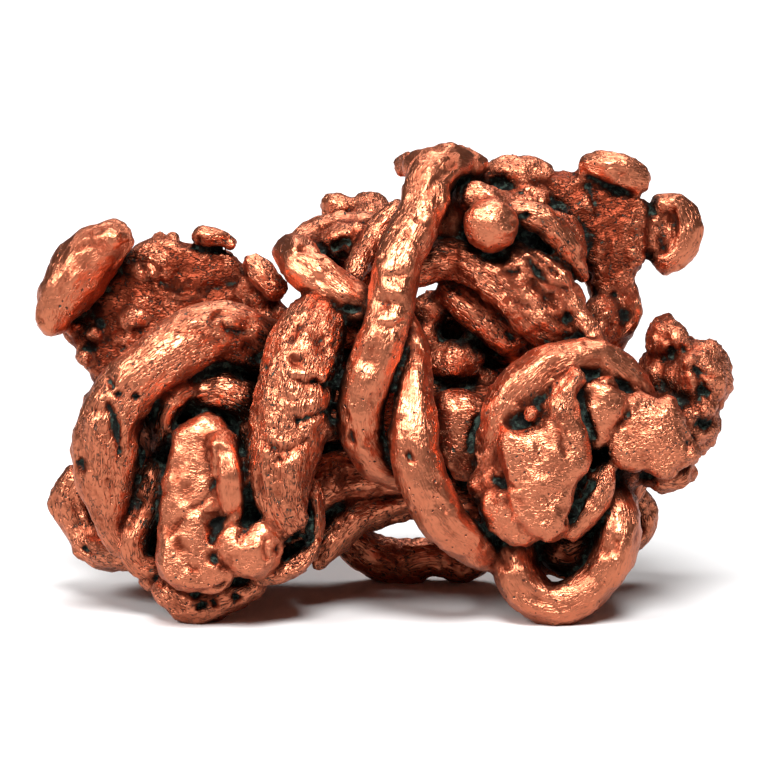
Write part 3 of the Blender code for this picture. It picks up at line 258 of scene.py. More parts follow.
    "rear_tie_high": [(-3.6, 36, -9, 8, 9), (-1.6, 41, -8, 7, 9), (-3, 46.5, -8, 6, 8)],
    "rear_tie_rough": [(11.4, 46.6, -2.6, 6, 7), (15.4, 43.6, -5, 7, 8), (20, 39.4, -7, 7, 8),
        (21, 35, -9, 7, 8)],
    "rear_bow": [(2, 33.5, -15, 6, 7), (9, 29.6, -18, 6.5, 7), (12.4, 23, -18, 6.5, 7), (11, 16, -16, 6, 7),
        (9, 11, -15, 5, 6)],
    "rear_hook": [(-22, 37, -11, 6, 6), (-16.4, 39.4, -12, 5.5, 6), (-14.6, 36, -15.4, 5.5, 6),
        (-19, 30, -17, 6, 6.5), (-24, 25, -15.6, 6, 6.5)],
}

# A lump is u, v, d and its half sizes along them.
LUMPS = {
    "plate_bumps": [(-28.4, 48.8, -7.4, 0.8, 0.8, 1.8), (-26.7, 48.2, -7.4, 0.8, 0.8, 1.8),
        (-24.6, 47.4, -6.9, 0.9, 0.8, 1.8), (-39.4, 37.2, -6.4, 1.4, 1.2, 2.2),
        (-36.2, 36.6, -5, 1.4, 1.1, 1.6), (-37.8, 33.6, -5.4, 1.2, 1.4, 1.6),
        (-30, 44.4, -4.7, 1.7, 1, 1.2), (-25, 41.6, -4.4, 2, 1, 1.2), (-31.5, 38.4, -4.6, 1.9, 1.2, 1.2)],
    "front_knob": [(-14.8, 9.6, 17.2, 2.4, 3, 4)],
    "nubs": [(-29.4, 5.3, 8.5, 1.2, 1.2, 2), (-7.4, 24.6, 15.5, 1.5, 1.7, 3.6),
        (2.8, 57.5, 5.4, 1.6, 1.6, 2.8), (12.6, 57.2, -1, 1, 0.9, 1.6), (15.8, 39.6, 10.6, 1.3, 1.1, 1.6),
        (18.2, 26.5, 21, 1.2, 1.2, 2), (14.5, 15.8, 18.6, 1.1, 0.9, 1.6)],
    "hook_nest": [(-4.5, 48, 1.4, 4, 2.6, 2.4), (-2.5, 47.2, 1.6, 2.6, 2.6, 2.4), (-6, 48.2, 0.8, 2, 2, 2),
        (-5.8, 52.5, -9.5, 2.6, 2, 3), (-4, 51.9, -9.8, 2.4, 1.8, 2.8), (-2.1, 52.1, -9.5, 2.9, 2.4, 3.6),
        (-1.5, 50.8, -7, 3, 2.6, 3.6)],
    "strand_head": [(6.1, 57.3, 8, 3.9, 2.7, 3.4), (10.7, 57.6, 4, 2.5, 2.2, 2.8),
        (8.4, 50.8, 3, 3.2, 4.6, 4.4)],
    "disc": [(13, 52.2, 6.6, 3, 2.8, 3), (10.2, 52.8, 5.8, 2, 2.8, 3), (13, 51.2, 3.4, 4.2, 3.8, 4)],
    "rough_middle": [(16.5, 44, 9.4, 2.1, 2.9, 2.6), (20.6, 38.4, 7, 5, 3.1, 3.6),
        (21.4, 47.2, 2.8, 4.4, 5, 4.6), (16, 35.1, 4.2, 1.7, 1.7, 2.6), (5.6, 36.2, 3, 1.9, 2.4, 3),
        (8.8, 32.9, 4, 3.6, 2.8, 4), (10.8, 35.5, 1.6, 1.8, 1.6, 3), (8.6, 36, -4, 4.8, 4.2, 4.6),
        (27.4, 38, 0, 2.8, 3.4, 4), (6.1, 39.5, 3, 2.4, 2.3, 3)],
    "top_lump": [(14.8, 56.9, -1.4, 2, 2, 3), (17, 56.4, -1.6, 3.3, 2.8, 3.6),
        (19.2, 56.6, -1.8, 2.3, 2.2, 3.2), (16, 54.2, -1.6, 3.2, 2.2, 3.2), (12.2, 55.4, 0, 1.8, 1.6, 2.6)],
    "ear_web": [(34.6, 49.2, -2.6, 3.2, 4, 2.6)],
    "right_ball": [(39.2, 30.9, 2.6, 4.8, 5, 6.6), (35.5, 35.7, 2, 2.8, 3, 4.6),
        (34.5, 30.6, 0, 2.8, 4.6, 5.4), (38.6, 25.4, 2.6, 3.8, 4.6, 6.6), (36, 21.6, 3.4, 2.7, 3.2, 5),
        (35.2, 18.9, 3.4, 2.2, 2.8, 4.4), (35.4, 25, 3, 3.4, 5, 6.6), (38.2, 33, 8.6, 1.2, 1.2, 1.6),
        (40.8, 30.9, 7, 1.7, 1.3, 2.6), (40, 27.2, 6.6, 1.9, 1.7, 3), (36.7, 35.6, 5.4, 2, 1.5, 2),
        (41, 34.4, 5, 1.5, 1.4, 2.2)],
    "hollow_backs": [(-6.1, 18.4, 5, 2.6, 3.1, 4.6), (28.6, 20.4, 7, 4.4, 5, 5),
        (-11.6, 10.4, 9.6, 2.8, 3, 4), (-17, 13.6, 11, 3, 4, 5), (20, 26.4, 11.6, 4, 4, 3.6),
        (24.6, 27, 9, 4, 4, 4), (-30.4, 12, 4, 3, 5, 5)],
    "rear_lumps": [(-28, 30, -13, 3.5, 3, 3.4), (16, 30, -15, 3.4, 2.8, 3.4), (-12, 24.4, -17.6, 2.6, 3, 3),
        (25, 33, -13, 3, 3, 3.4), (-31, 22, -14, 2.6, 3, 3), (19, 20.4, -14, 3.4, 3, 3.6),
        (26, 52, -5.6, 3, 2.4, 1.8), (30, 48, -5.6, 2.2, 3, 1.8), (-36, 40, -8, 2.6, 3, 2.6),
        (1.6, 26, -16.4, 3.4, 3.2, 4), (-9.2, 45.2, -8.6, 3.2, 3.4, 4)],
    "left_knobs": [(-34.5, 48.2, -0.6, 2.6, 2, 2.2), (-37.5, 48, -0.6, 1.6, 1.4, 1.6)],
    "rough_fill": [(20.2, 42.5, 7.6, 3.4, 3, 3.2), (22.2, 39.8, 7.6, 3.2, 3.4, 3.2),
        (18.2, 44.5, 7.8, 3, 2.6, 3), (16.5, 47.5, 3.4, 3.4, 2.8, 4), (23.8, 37.2, 7.6, 2.6, 3, 3),
        (16, 46, 7.4, 3.4, 2.2, 3)],
    "slab_shoulder": [(16, 25.5, 14.8, 3.6, 3.2, 4.4), (18.4, 27.4, 15.4, 3.2, 2.8, 4),
        (14, 22, 13.8, 2.8, 4.6, 4.6), (14.1, 18, 13.6, 2.6, 3.4, 4.6), (20.5, 28.2, 15.4, 2.4, 2.4, 4),
        (13.5, 17.5, 15.4, 3, 2.6, 3.2), (14.8, 18.8, 16, 2, 3.2, 3)],
    "cap_join": [(14.5, 51.9, 7.2, 2.8, 2.4, 3), (16, 51.2, 7, 2.4, 2.2, 3),
        (17.9, 53.2, 1.6, 3.2, 2.2, 3)],
    "loop_plug": [(19.8, 7.8, 4, 2.6, 2, 2.6), (22.9, 7, 3.6, 2.4, 1.8, 2.6), (12, 30.9, 2, 2.8, 1.8, 2.6),
        (12.6, 12, 6, 2.6, 3.2, 2.6), (20.4, 7.9, 4.4, 3.2, 1.8, 3)],
    "plate_edge": [(-15.5, 40.8, -5.5, 2.6, 2.8, 2.6), (-14.5, 38.5, -5.5, 2.4, 2.2, 2.6),
        (-16.8, 42.5, -5.5, 2.6, 2.6, 2.6), (-13.2, 39, -5, 1.4, 1.2, 2)],
    "knob_bed": [(-17.1, 14.8, 14.6, 2, 2.4, 2.6), (-15.1, 14, 12.6, 2.8, 2.2, 2.6)],
    "leaf_plug": [(25.4, 30.6, 9, 2.6, 2.2, 3)],
    "stem_fill": [(29.8, 40.2, -1.7, 2.1, 3, 2.8)],
    "lip_fill": [(37.5, 19, 5, 2.2, 1.4, 2.6)],
    "ball_side": [(38.2, 30.5, 4, 2.4, 4, 4.6)],
}

# A slab is d at its middle, thickness, the slope of its face along u and v, and its outline in u and v.
SLABS = {
    "left_plate": (-7.5, 5.6, 0.06, 0.02, [(-32, 47.2), (-30.3, 48), (-28.4, 48.8), (-26.6, 48.3),
        (-24.6, 47.6), (-22, 47.4), (-19.5, 46.6), (-17.8, 45), (-16.5, 43), (-15.2, 40.8), (-14.6, 38),
        (-17, 34), (-24, 31), (-33, 28.5), (-36, 29.8), (-37.4, 31.8), (-38.8, 34.2), (-40.4, 36.4),
        (-40.4, 38.8), (-39.6, 41.4), (-37.6, 44), (-35, 46.4)]),
    "front_slab": (13.8, 11, 0.05, -0.06, [(-26.9, 21.1), (-26.1, 24.2), (-25, 25.2), (-23.6, 26.1),
        (-22.1, 26.4), (-20.5, 25.8), (-19.4, 24.8), (-18.8, 23), (-17.8, 21.4), (-17.6, 18.4),
        (-17.8, 15.6), (-18.4, 13.6), (-20.4, 12.6), (-21, 10.2), (-20, 8), (-18.4, 6.4), (-19.5, 4.7),
        (-21.1, 4.1), (-23, 4), (-24.9, 4.2), (-26.8, 5.2), (-28, 6.4), (-28.4, 8), (-28.2, 10.5),
        (-28, 13), (-27.8, 16.1), (-27.4, 18.6)]),
    "green_block": (9.2, 9, -0.05, 0.05, [(6.2, 28.4), (8.2, 29.2), (10.1, 29), (12, 28.4), (13.2, 27.6),
        (13.4, 26.6), (12.9, 24.9), (12.2, 22.4), (12.2, 19.9), (12.4, 17.2), (10.8, 17.6), (8.9, 18.4),
        (7.6, 20.5), (6.6, 22.6)]),
    "right_plate": (-2, 6, 0, 0, [(20.1, 56.7), (21.8, 56.6), (23.8, 56.8), (25.6, 57), (28.4, 55.4),
        (30.8, 54.6), (33, 53), (33.3, 49.6), (33.2, 46.8), (32.6, 45.2), (31.6, 43.6), (30.6, 41.6),
        (27, 41), (26, 43.6), (24.9, 45.2), (23.2, 47.4), (21, 49.5), (19.5, 51.5), (19, 53.6),
        (19.2, 55.5)]),
    "right_slab": (17, 9, -0.08, -0.04, [(14.5, 24.9), (15.8, 24.6), (17.6, 24.9), (18.9, 25.4),
        (19.9, 26.9), (21.4, 28), (23.2, 28.6), (24.4, 28), (24.5, 26.1), (25.5, 23), (25.9, 21.1),
        (25.5, 19.2), (24.2, 18), (23.5, 15.5), (23, 13.6), (22.8, 12), (21.8, 10.9), (20.5, 10.4),
        (19.2, 10.8), (17.6, 12.1), (16.4, 13.2), (15.5, 15.5), (15.1, 18), (14.5, 19.5), (14.2, 22.4)]),
    "slab_lobe": (16, 8, 0.1, 0.02, [(11.8, 14.9), (12, 16.4), (13, 17.4), (14.6, 17.6), (16.2, 17),
        (17.5, 15.5), (18.8, 13.5), (19.5, 11.8), (18.9, 10.5), (17.4, 9.8), (15.8, 10.1), (13.9, 11.1),
        (12.4, 13)]),
    "upper_leaf": (14.6, 7, 0, 0.05, [(22.8, 27.5), (23.2, 28.4), (24.6, 29.8), (25.1, 30.6), (26.8, 31.1),
        (28.5, 30.8), (29.5, 29.5), (30, 28), (29.9, 26.4), (29.1, 24.8), (28.4, 23.5), (27.5, 22.4),
        (26.4, 22), (25, 23), (23.9, 24.5), (23, 26)]),
    "side_slab": (12.2, 8.6, -0.1, 0, [(29.1, 28.6), (31, 29.2), (32, 29.3), (33.2, 28.8), (34.4, 28.4),
        (35.5, 28.8), (36.4, 28), (37.2, 26.5), (37.9, 24.5), (38.2, 23.2), (39.3, 22.4), (39.8, 21.5),
        (38.9, 20.2), (37.6, 19.9), (36.4, 18.6), (34.8, 17.8), (33.4, 18.8), (32, 19.2), (30.1, 19.2),
        (28.5, 20.2), (27.9, 21.2), (27.8, 23.4), (28.5, 24.9), (29.7, 26.2)]),
    "comma": (17.6, 7, 0.03, -0.03, [(-21, 10.6), (-20.4, 11.9), (-18.9, 12.8), (-17.2, 12.5),
        (-15.8, 13.1), (-14.4, 13), (-13.2, 11.8), (-12.6, 10), (-12.9, 8.4), (-14, 7), (-15.6, 5.9),
        (-17.4, 5.9), (-19.1, 6.8), (-20.5, 8.5)]),
    "disc_face": (12.2, 5, 0.02, 0.06, [(13.4, 53.4), (15, 53), (16.2, 51.9), (16.9, 50.2), (16.5, 48.5),
        (15.4, 47.1), (13.6, 46.5), (11.9, 46.9), (10.5, 48), (9.9, 49.8), (10.2, 51.5), (11.5, 52.9)]),
    "disc_cap": (8.4, 5, 0.04, 0.1, [(9.4, 53), (9.8, 54.6), (10.8, 55.5), (12.2, 55.4), (13.9, 54.6),
        (15.4, 53.5), (15.8, 52.2), (15.2, 51), (13.5, 51.2), (11.8, 51.4), (10, 51.8)]),
}

# A groove is a path in u and v over the front, its width and its depth. A ridge has a depth below 0.
GROOVES = {
    "arc_slit": ([(-34.4, 27.6), (-33.5, 26), (-33.2, 24.2), (-32.9, 21.5)], 0.5, 1),
    "arc_slit_wide": ([(-34.2, 26.9), (-33.6, 25.2), (-33.4, 23.4)], 0.75, 0.8),
    "arc_holes_high": ([(-30.9, 28.5), (-30.8, 28.5)], 0.57, 1.5),
    "arc_hole_left": ([(-33.1, 28.8), (-33, 28.8)], 0.57, 1.4),
    "arc_hole_edge": ([(-34.4, 30.8), (-34, 29.8)], 0.38, 1),
    "arc_hole_small": ([(-31.5, 32.1), (-31.4, 32.1)], 0.33, 0.7),
    "arc_side_hole": ([(-37.9, 20.4), (-37.8, 19.5)], 0.62, 1.2),
    "arc_crack": ([(-37.2, 26.5), (-36, 26.8), (-34.8, 26.4)], 0.25, 0.6),
    "arc_tear_a": ([(-25.5, 36.8), (-23.5, 37.1), (-21.8, 36.4), (-20.2, 35.5)], 0.33, 0.6),
    "arc_tear_b": ([(-21.2, 38.2), (-20.5, 39), (-19.8, 39.2)], 0.3, 0.7),
    "arc_tear_c": ([(-20, 37.8), (-19.2, 36.8), (-17.2, 36.6)], 0.35, 0.8),
    "arc_tear_d": ([(-25, 39), (-23.5, 38.5)], 0.28, 0.5),
    "arc_tear_e": ([(-28, 30.2), (-27, 31.2)], 0.28, 0.4),
    "arc_end_hollow": ([(-15.8, 33.2), (-14.8, 32)], 0.62, 0.9),
    "plate_band": ([(-28, 42.8), (-24.9, 41.8), (-21.1, 42.1), (-19, 43)], 0.9, 0.6),
    "plate_notch": ([(-23.4, 48.5), (-23.1, 47.2)], 0.42, 1.2),
    "plate_groove_a": ([(-33, 46.8), (-34, 44.5), (-35.8, 41.8)], 0.4, 0.7),
    "plate_groove_b": ([(-30.5, 45.2), (-29.5, 43), (-29, 40.5)], 0.4, 0.5),
    "plate_groove_c": ([(-36, 38.2), (-35, 36.8), (-34.5, 34.9)], 0.5, 0.6),
    "plate_groove_d": ([(-26.5, 46.5), (-25.5, 45.2), (-25.8, 43.8)], 0.4, 0.5),
    "plate_groove_e": ([(-21.5, 46.2), (-20.5, 45.2), (-19.8, 44.2)], 0.4, 0.5),
    "plate_patina": ([(-38, 34.8), (-36.8, 34.5)], 0.5, 0.8),
    "slab_crease": ([(-20.6, 22.2), (-21, 20.2), (-20.9, 18.2), (-22.4, 15.5), (-25.2, 13.5),
                     (-27, 11.2)], 0.5, 0.6),
    "slab_eye": ([(-20.2, 21.8), (-19.1, 21.6)], 0.23, 0.35),
    "slab_crack_a": ([(-25.5, 10.6), (-25.2, 8.9)], 0.25, 0.6),
    "slab_crack_b": ([(-24.4, 7.5), (-23.2, 6.8)], 0.23, 0.5),
    "slab_dark_spot": ([(-21.2, 8.9), (-20.9, 8)], 0.4, 0.9),
    "slab_foot_crease": ([(-28.2, 5.8), (-26.1, 4.5), (-23.5, 4), (-21.2, 4.2), (-19.5, 5)], 0.55, 1.3),
    "knob_top_crease": ([(-21.5, 12.5), (-19.9, 13.4), (-18.2, 13.9)], 0.4, 0.7),
    "knob_notch": ([(-17.1, 12.4), (-17.8, 11.5), (-18, 10.5)], 0.5, 0.9),
    "knob_cleft": ([(-14.5, 10.8), (-14.8, 9.5), (-14.6, 8.5)], 0.35, 0.7),
    "knob_pit": ([(-19.1, 8.2), (-18.9, 7.8)], 0.28, 0.5),
    "foot_hole_a": ([(-23, 2.2), (-22.4, 2.5)], 0.62, 1.3),
    "foot_hole_b": ([(-21.4, 3.1), (-21.1, 2.6)], 0.55, 1.1),
    "foot_hole_c": ([(-18.8, 3.8), (-18.2, 3)], 0.62, 1.6),
    "foot_tear": ([(-26, 2.5), (-24.8, 1.9)], 0.38, 0.6),
    "upright_crater": ([(-11.5, 33.2), (-10.9, 32.6), (-10.5, 33.1)], 0.42, 0.8),
    "upright_crater_lip": ([(-11.9, 33.6), (-11.2, 34.2), (-10.2, 34)], 0.35, -0.4),
    "upright_star_a": ([(-12, 38.2), (-10.9, 37), (-9.8, 37.8)], 0.28, 0.6),
    "upright_star_b": ([(-11.5, 35.8), (-10.8, 37), (-10.5, 38.2)], 0.28, 0.6),
    "upright_tear_a": ([(-8.2, 35), (-7.4, 35.9), (-6.2, 36.4)], 0.3, 0.8),
    "upright_tear_b": ([(-7.9, 34), (-6.8, 34.2), (-6, 35.2)], 0.28, 0.6),
    "upright_notch": ([(-8.5, 30.5), (-7.5, 29.9), (-6.2, 30.1)], 0.53, 1.4),
    "upright_ledge": ([(-11.5, 30.8), (-9.9, 30.2), (-8.2, 30.5)], 0.33, 0.7),
    "upright_crack": ([(-10.8, 25.5), (-9.2, 25.9), (-7.8, 26.5), (-6.5, 27)], 0.38, 1.1),
    "upright_crack_end": ([(-11, 26.2), (-10.5, 25)], 0.42, 0.9),
    "upright_vee": ([(-14.8, 23), (-13.5, 22), (-12, 21.6), (-10.5, 22.5), (-9.5, 23.2)], 0.38, 0.7),
    "upright_hole_low": ([(-13.4, 20.4), (-12.8, 20.8)], 0.4, 1),
    "upright_side_crease": ([(-6, 28.6), (-6.4, 27), (-6, 25.5)], 0.33, 0.8),
    "upright_wave": ([(-12.5, 28.6), (-11, 27.8), (-9.2, 28.2)], 0.38, 0.5),
    "curl_cup": ([(-12.5, 9.5), (-11.2, 10.1), (-9.9, 10.9)], 1.12, 2.2),
    "hook_pit_a": ([(-10.6, 46.8), (-10, 47.1)], 0.33, 0.8),
    "hook_pit_b": ([(-9.5, 47.5), (-9, 47.6)], 0.28, 0.6),
    "hook_pit_c": ([(-6.9, 47.9), (-6.8, 47.9)], 0.25, 0.5),
    "hook_pit_d": ([(-7.5, 45.6), (-7.4, 45.6)], 0.25, 0.5),
    "hook_crease": ([(-4.6, 39.5), (-3.6, 39.1), (-2.8, 39.4)], 0.3, 0.8),
    "hook_crack": ([(-10.5, 45.2), (-8.5, 43.5), (-6.2, 41.8)], 0.2, 0.3),
    "ring_hollow": ([(-6.2, 47.2), (-4.9, 48), (-3.5, 47.6)], 0.75, 1.2),
    "ring_hollow_low": ([(-5.5, 46), (-4.2, 46.5)], 0.62, 1),
    "head_crease": ([(5.4, 53.8), (6.1, 55), (7.4, 56.2), (8.9, 57.5)], 0.33, 0.55),
    "strand_slit_a": ([(4.1, 50.6), (4.6, 51.2)], 0.35, 0.8),
    "strand_slit_b": ([(6.8, 52.8), (7, 53.4)], 0.28, 0.6),
    "strand_pits_a": ([(1.4, 48.2), (1.5, 48.2)], 0.25, 0.6),
    "strand_pits_b": ([(2.2, 47.9), (2.3, 47.9)], 0.25, 0.6),
    "strand_pits_c": ([(1.8, 47.1), (1.9, 47.1)], 0.23, 0.5),
    "strand_pits_d": ([(2.9, 48.9), (3, 48.9)], 0.23, 0.5),
    "strand_pits_e": ([(-0.2, 45.9), (-0.1, 45.9)], 0.3, 0.6),
    "strand_notch": ([(1.6, 43.5), (2.5, 43.8)], 0.4, 0.7),
    "strand_knot_a": ([(-0.8, 40.5), (0.8, 39.9), (1.6, 41)], 0.28, 0.6),
    "strand_knot_b": ([(-0.5, 41.8), (0.5, 40.5), (0.2, 38.5)], 0.25, 0.5),
    "strand_knot_c": ([(-0.5, 37.5), (0.9, 37), (2.2, 37.8)], 0.28, 0.6),
    "strand_hole_low": ([(-4.2, 23.9), (-4, 23)], 0.42, 0.9),
    "strand_tear_low": ([(-4.9, 26.5), (-4.4, 25.5)], 0.3, 0.6),
    "strand_dent": ([(-1.5, 34.9), (-2, 33)], 1.5, 0.45),
    "second_hole": ([(3, 21.5), (3.5, 20.5)], 0.38, 0.9),
    "second_slit": ([(6.5, 16.1), (7.8, 14.2)], 0.4, 0.5),
    "disc_star": ([(12.5, 49.8), (13.5, 49.1), (14.5, 49.8)], 0.23, 0.35),
    "bridge_hole_a": ([(17, 49.4), (17.1, 49.4)], 0.5, 1.5),
    "bridge_hole_b": ([(17.6, 51.4), (17.7, 51.4)], 0.4, 1.1),
    "bridge_crack": ([(16.2, 50.2), (17, 51), (18.1, 51.2)], 0.28, 0.7),
    "rough_eye": ([(15.2, 44.2), (16.1, 44), (17, 44.2)], 0.42, 1.2),
    "rough_slit": ([(18.2, 45.6), (19.2, 44), (20.8, 42.6), (22.8, 41.8)], 0.45, 0.8),
    "rough_slit_high": ([(17.9, 47.1), (19.5, 45.8), (21.5, 43.8)], 0.3, 0.7),
    "rough_hole": ([(22.8, 38.5), (23, 38)], 0.45, 1),
    "rough_tear": ([(16.5, 40.5), (18.2, 39.8)], 0.33, 0.6),
    "rough_crease": ([(10.8, 45.2), (13.2, 43.5), (16, 41), (18.5, 39)], 0.35, 0.5),
    "sausage_wrinkle_a": ([(8.2, 42.2), (11, 39.8), (14.2, 36.8)], 0.23, 0.3),
    "sausage_end": ([(15.4, 36.4), (16.1, 35.8)], 0.5, 0.9),
    "plate_hollow": ([(21.4, 52.5), (23.2, 51.5), (25, 49.5)], 1.0, 0.9),
    "plate_seam": ([(25.8, 55), (26.4, 53.2), (27, 51.2)], 0.4, 0.8),
    "plate_seam_low": ([(27.5, 49.8), (28.5, 48), (28, 46)], 0.4, 0.7),
    "corner_seam": ([(24.6, 57), (26.2, 55.8), (28.2, 54.8), (31, 53.9)], 0.4, 0.7),
    "top_shade": ([(14, 55), (16.2, 54), (18.2, 54.4), (19.6, 53.6)], 0.8, 0.9),
    "ear_hollow": ([(35, 50.2), (34.9, 48.5), (35.2, 46.8)], 0.7, 0.6),
    "ear_groove": ([(35.5, 53.2), (36.5, 51.5), (36.8, 48.8)], 0.3, 0.4),
    "stem_slit": ([(29.2, 41.4), (29.9, 39.9), (30.2, 38.5)], 0.3, 0.4),
    "stem_slit_low": ([(27.8, 38), (29, 37.2)], 0.42, 0.9),
    "arc_slab_crack": ([(22.9, 31.5), (22, 30.2), (20.8, 29)], 0.5, 1.0),
    "arc_slab_crease": ([(20.2, 28.5), (18.5, 27.2), (16.5, 25.5)], 0.35, 0.8),
    "slab_hole": ([(17.1, 18.8), (17.9, 18)], 0.35, 0.5),
    "slab_tear": ([(21.5, 25), (22.2, 23), (22.8, 21)], 0.25, 0.4),
    "slab_lobe_hollow": ([(16.2, 16.1), (16.9, 15.5)], 0.5, 0.5),
    "slab_lobe_crease": ([(13.5, 18.2), (15.2, 17.5), (16.5, 17)], 0.35, 0.7),
    "leaf_gap": ([(25.8, 17.8), (24.8, 16.4), (23.8, 14.5), (22.9, 12.8)], 0.55, 1.8),
    "upper_leaf_gap": ([(24.5, 28), (25.2, 25.5), (26, 23.2)], 0.38, 1),
    "arc_leaf_gap": ([(25.2, 31.6), (27, 30.9), (28.8, 30.2), (30, 29.5)], 0.53, 1.4),
    "side_slab_rim": ([(30.4, 29), (30.8, 27.8), (30.5, 26.2)], 0.28, 0.5),
    "side_slab_seam": ([(32.8, 18.8), (34.5, 18.2), (36.2, 18.8), (37.3, 20)], 0.35, 0.5),
    "side_slab_edge": ([(37.5, 24.2), (38.2, 23), (38, 21.5)], 0.38, 0.8),
    "ball_star_a": ([(37, 35.2), (38, 33.8), (38.9, 32.1)], 0.25, 0.5),
    "ball_star_b": ([(38.9, 31.9), (40.5, 31.4), (42.1, 31)], 0.3, 0.8),
    "ball_star_c": ([(39.1, 31.6), (39.9, 29.8), (39.1, 27.8), (38.8, 26)], 0.3, 0.8),
    "ball_notch": ([(39.8, 29.2), (40.5, 28.8)], 0.4, 0.9),
    "ball_hollow": ([(39.5, 25), (40.5, 24.8), (41.5, 25.4)], 0.81, 1.8),
    "ball_fold": ([(35, 36.2), (36, 35), (35.8, 33)], 0.3, 0.5),
    "ball_low_seam": ([(38, 23), (39.5, 22.2), (40, 20.8)], 0.42, 1),
    "loop_scratch_a": ([(18, 4), (20, 2.8), (22.8, 2.2)], 0.23, 0.3),
    "loop_tear": ([(14.5, 8.6), (15, 7.2)], 0.33, 0.5),
    "loop_tear_right": ([(29.2, 10.5), (28.8, 8.5)], 0.33, 0.5),
    "outer_lobe_hollow": ([(-38, 9.5), (-37.2, 8.8)], 0.75, 1.5),
    "outer_lobe_groove": ([(-39.8, 17.2), (-38.8, 15), (-38, 12.5)], 0.33, 0.5),
    "inner_strand_groove": ([(-29.8, 18), (-30.5, 15.5), (-31.2, 13)], 0.3, 0.4),
    "left_lobe_wrinkle_a": ([(-41.2, 40.5), (-40.2, 43), (-38.5, 45.8)], 0.25, 0.3),
    "left_lobe_wrinkle_c": ([(-38.5, 47.2), (-36.5, 47.8), (-34.8, 47.2)], 0.28, 0.3),
    "arc_ridge_low": ([(-36.5, 25.5), (-36, 23.5), (-35.2, 22)], 0.85, -0.7),
    "arc_slit_lip": ([(-32.2, 25.5), (-32, 23.5), (-32.1, 21.5)], 0.45, -0.35),
    "eye_brow": ([(14.9, 45), (16, 45.2), (17.2, 44.9)], 0.38, -0.4),
    "strand_ledge": ([(-0.4, 38.2), (0.9, 37.8), (2.2, 38.5)], 0.38, -0.45),
    "strand_fold_a": ([(0, 41.5), (1.1, 40.5), (2.2, 41.5)], 0.3, -0.35),
    "upright_fold_a": ([(-12.5, 36.8), (-12.8, 34.9), (-12.2, 32.8)], 0.38, -0.4),
    "upright_fold_b": ([(-9.8, 36.8), (-8.8, 35.5), (-9.2, 34)], 0.38, -0.4),
    "upright_fold_c": ([(-10.5, 31.5), (-9, 31.2), (-7.2, 31)], 0.38, -0.45),
    "upright_fold_d": ([(-14.5, 23.8), (-13, 22.9), (-11.2, 23)], 0.42, -0.4),
    "upright_block": ([(-8, 25.5), (-6.8, 25), (-6.4, 23.8)], 0.75, -0.4),
    "slab_nub": ([(18.2, 26.5), (18.3, 26.5)], 0.75, -0.9),
    "slab_rim": ([(14.5, 25), (15.2, 26.5), (16.8, 27.5)], 0.5, -0.35),
    "slab_lobe_nub": ([(14.4, 16.2), (14.5, 16.2)], 0.88, -0.7),
    "side_slab_ridge": ([(31.2, 29.2), (31, 27.8), (30.8, 26.5)], 0.45, -0.5),
    "ball_nub": ([(38.2, 33.2), (38.3, 33.2)], 0.75, -0.6),
    "arc_bright_fold": ([(22, 34.8), (20.5, 33.5), (18.2, 32.2)], 0.62, -0.3),
    "ear_ridge": ([(35.5, 54), (36.8, 52.5), (37.5, 50.2), (37.2, 47.5)], 0.5, -0.4),
    "outer_lobe_ridge": ([(-39.5, 18), (-38.8, 15.8), (-37.8, 13)], 0.38, -0.35),
    "green_block_fold": ([(9.5, 26.5), (11.2, 25), (12.8, 23.5)], 0.5, -0.35),
    "head_fold": ([(7.8, 56.8), (9, 55.8), (8.5, 54.2)], 0.5, -0.35),
}

# How crumpled each form is: 1 for a plain one, more for a rough one, less for a worn one.
CRUMPLED = {
    "left_plate": 1.8, "plate_bumps": 1.2, "left_lobe": 0.5, "left_knobs": 0.5, "front_slab": 0.4,
    "slab_side": 0.3, "big_arc": 0.95, "upright": 1.45, "hook": 0.5, "thin_strand": 1.4, "long_strand": 0.45,
    "strand_head": 0.5, "second_strand": 0.55, "rough_strand": 1.6, "rough_edge": 1.1, "rough_middle": 1.5,
    "right_plate": 1.8, "corner_lobe": 0.7, "ear": 0.8, "ear_web": 1.2, "stem": 1.4, "stem_leaf": 1.0,
    "disc_face": 0.35, "disc": 0.6, "disc_cap": 0.7, "top_lump": 1.0, "right_slab": 0.5, "right_arc": 0.7,
    "side_slab": 0.8, "right_ball": 1.35, "loop": 0.6, "foot": 1.0, "comma": 0.4, "front_knob": 0.6,
    "low_strand": 1.3, "hook_ring": 0.9, "slab_lobe": 0.6, "upper_leaf": 0.6, "loop_leaf": 0.8,
    "green_block": 0.7, "slab_shoulder": 0.8,
}
CRUMPLED_MOST = 1.1  # of a form that isn't named above


def length_setting(name, default, description):
    return FloatProperty(
        name=name, description=description, default=default, unit="LENGTH", precision=5)


def share_setting(name, default, description):
    return FloatProperty(
        name=name, description=description, default=default, subtype="FACTOR", min=0.0, max=1.0)


def strength_setting(name, default, description):
    return FloatProperty(name=name, description=description, default=default, min=0.0)


def colour_setting(name, default, description):
    return FloatVectorProperty(
        name=name, description=description, default=default, subtype="COLOR", min=0.0, max=1.0)


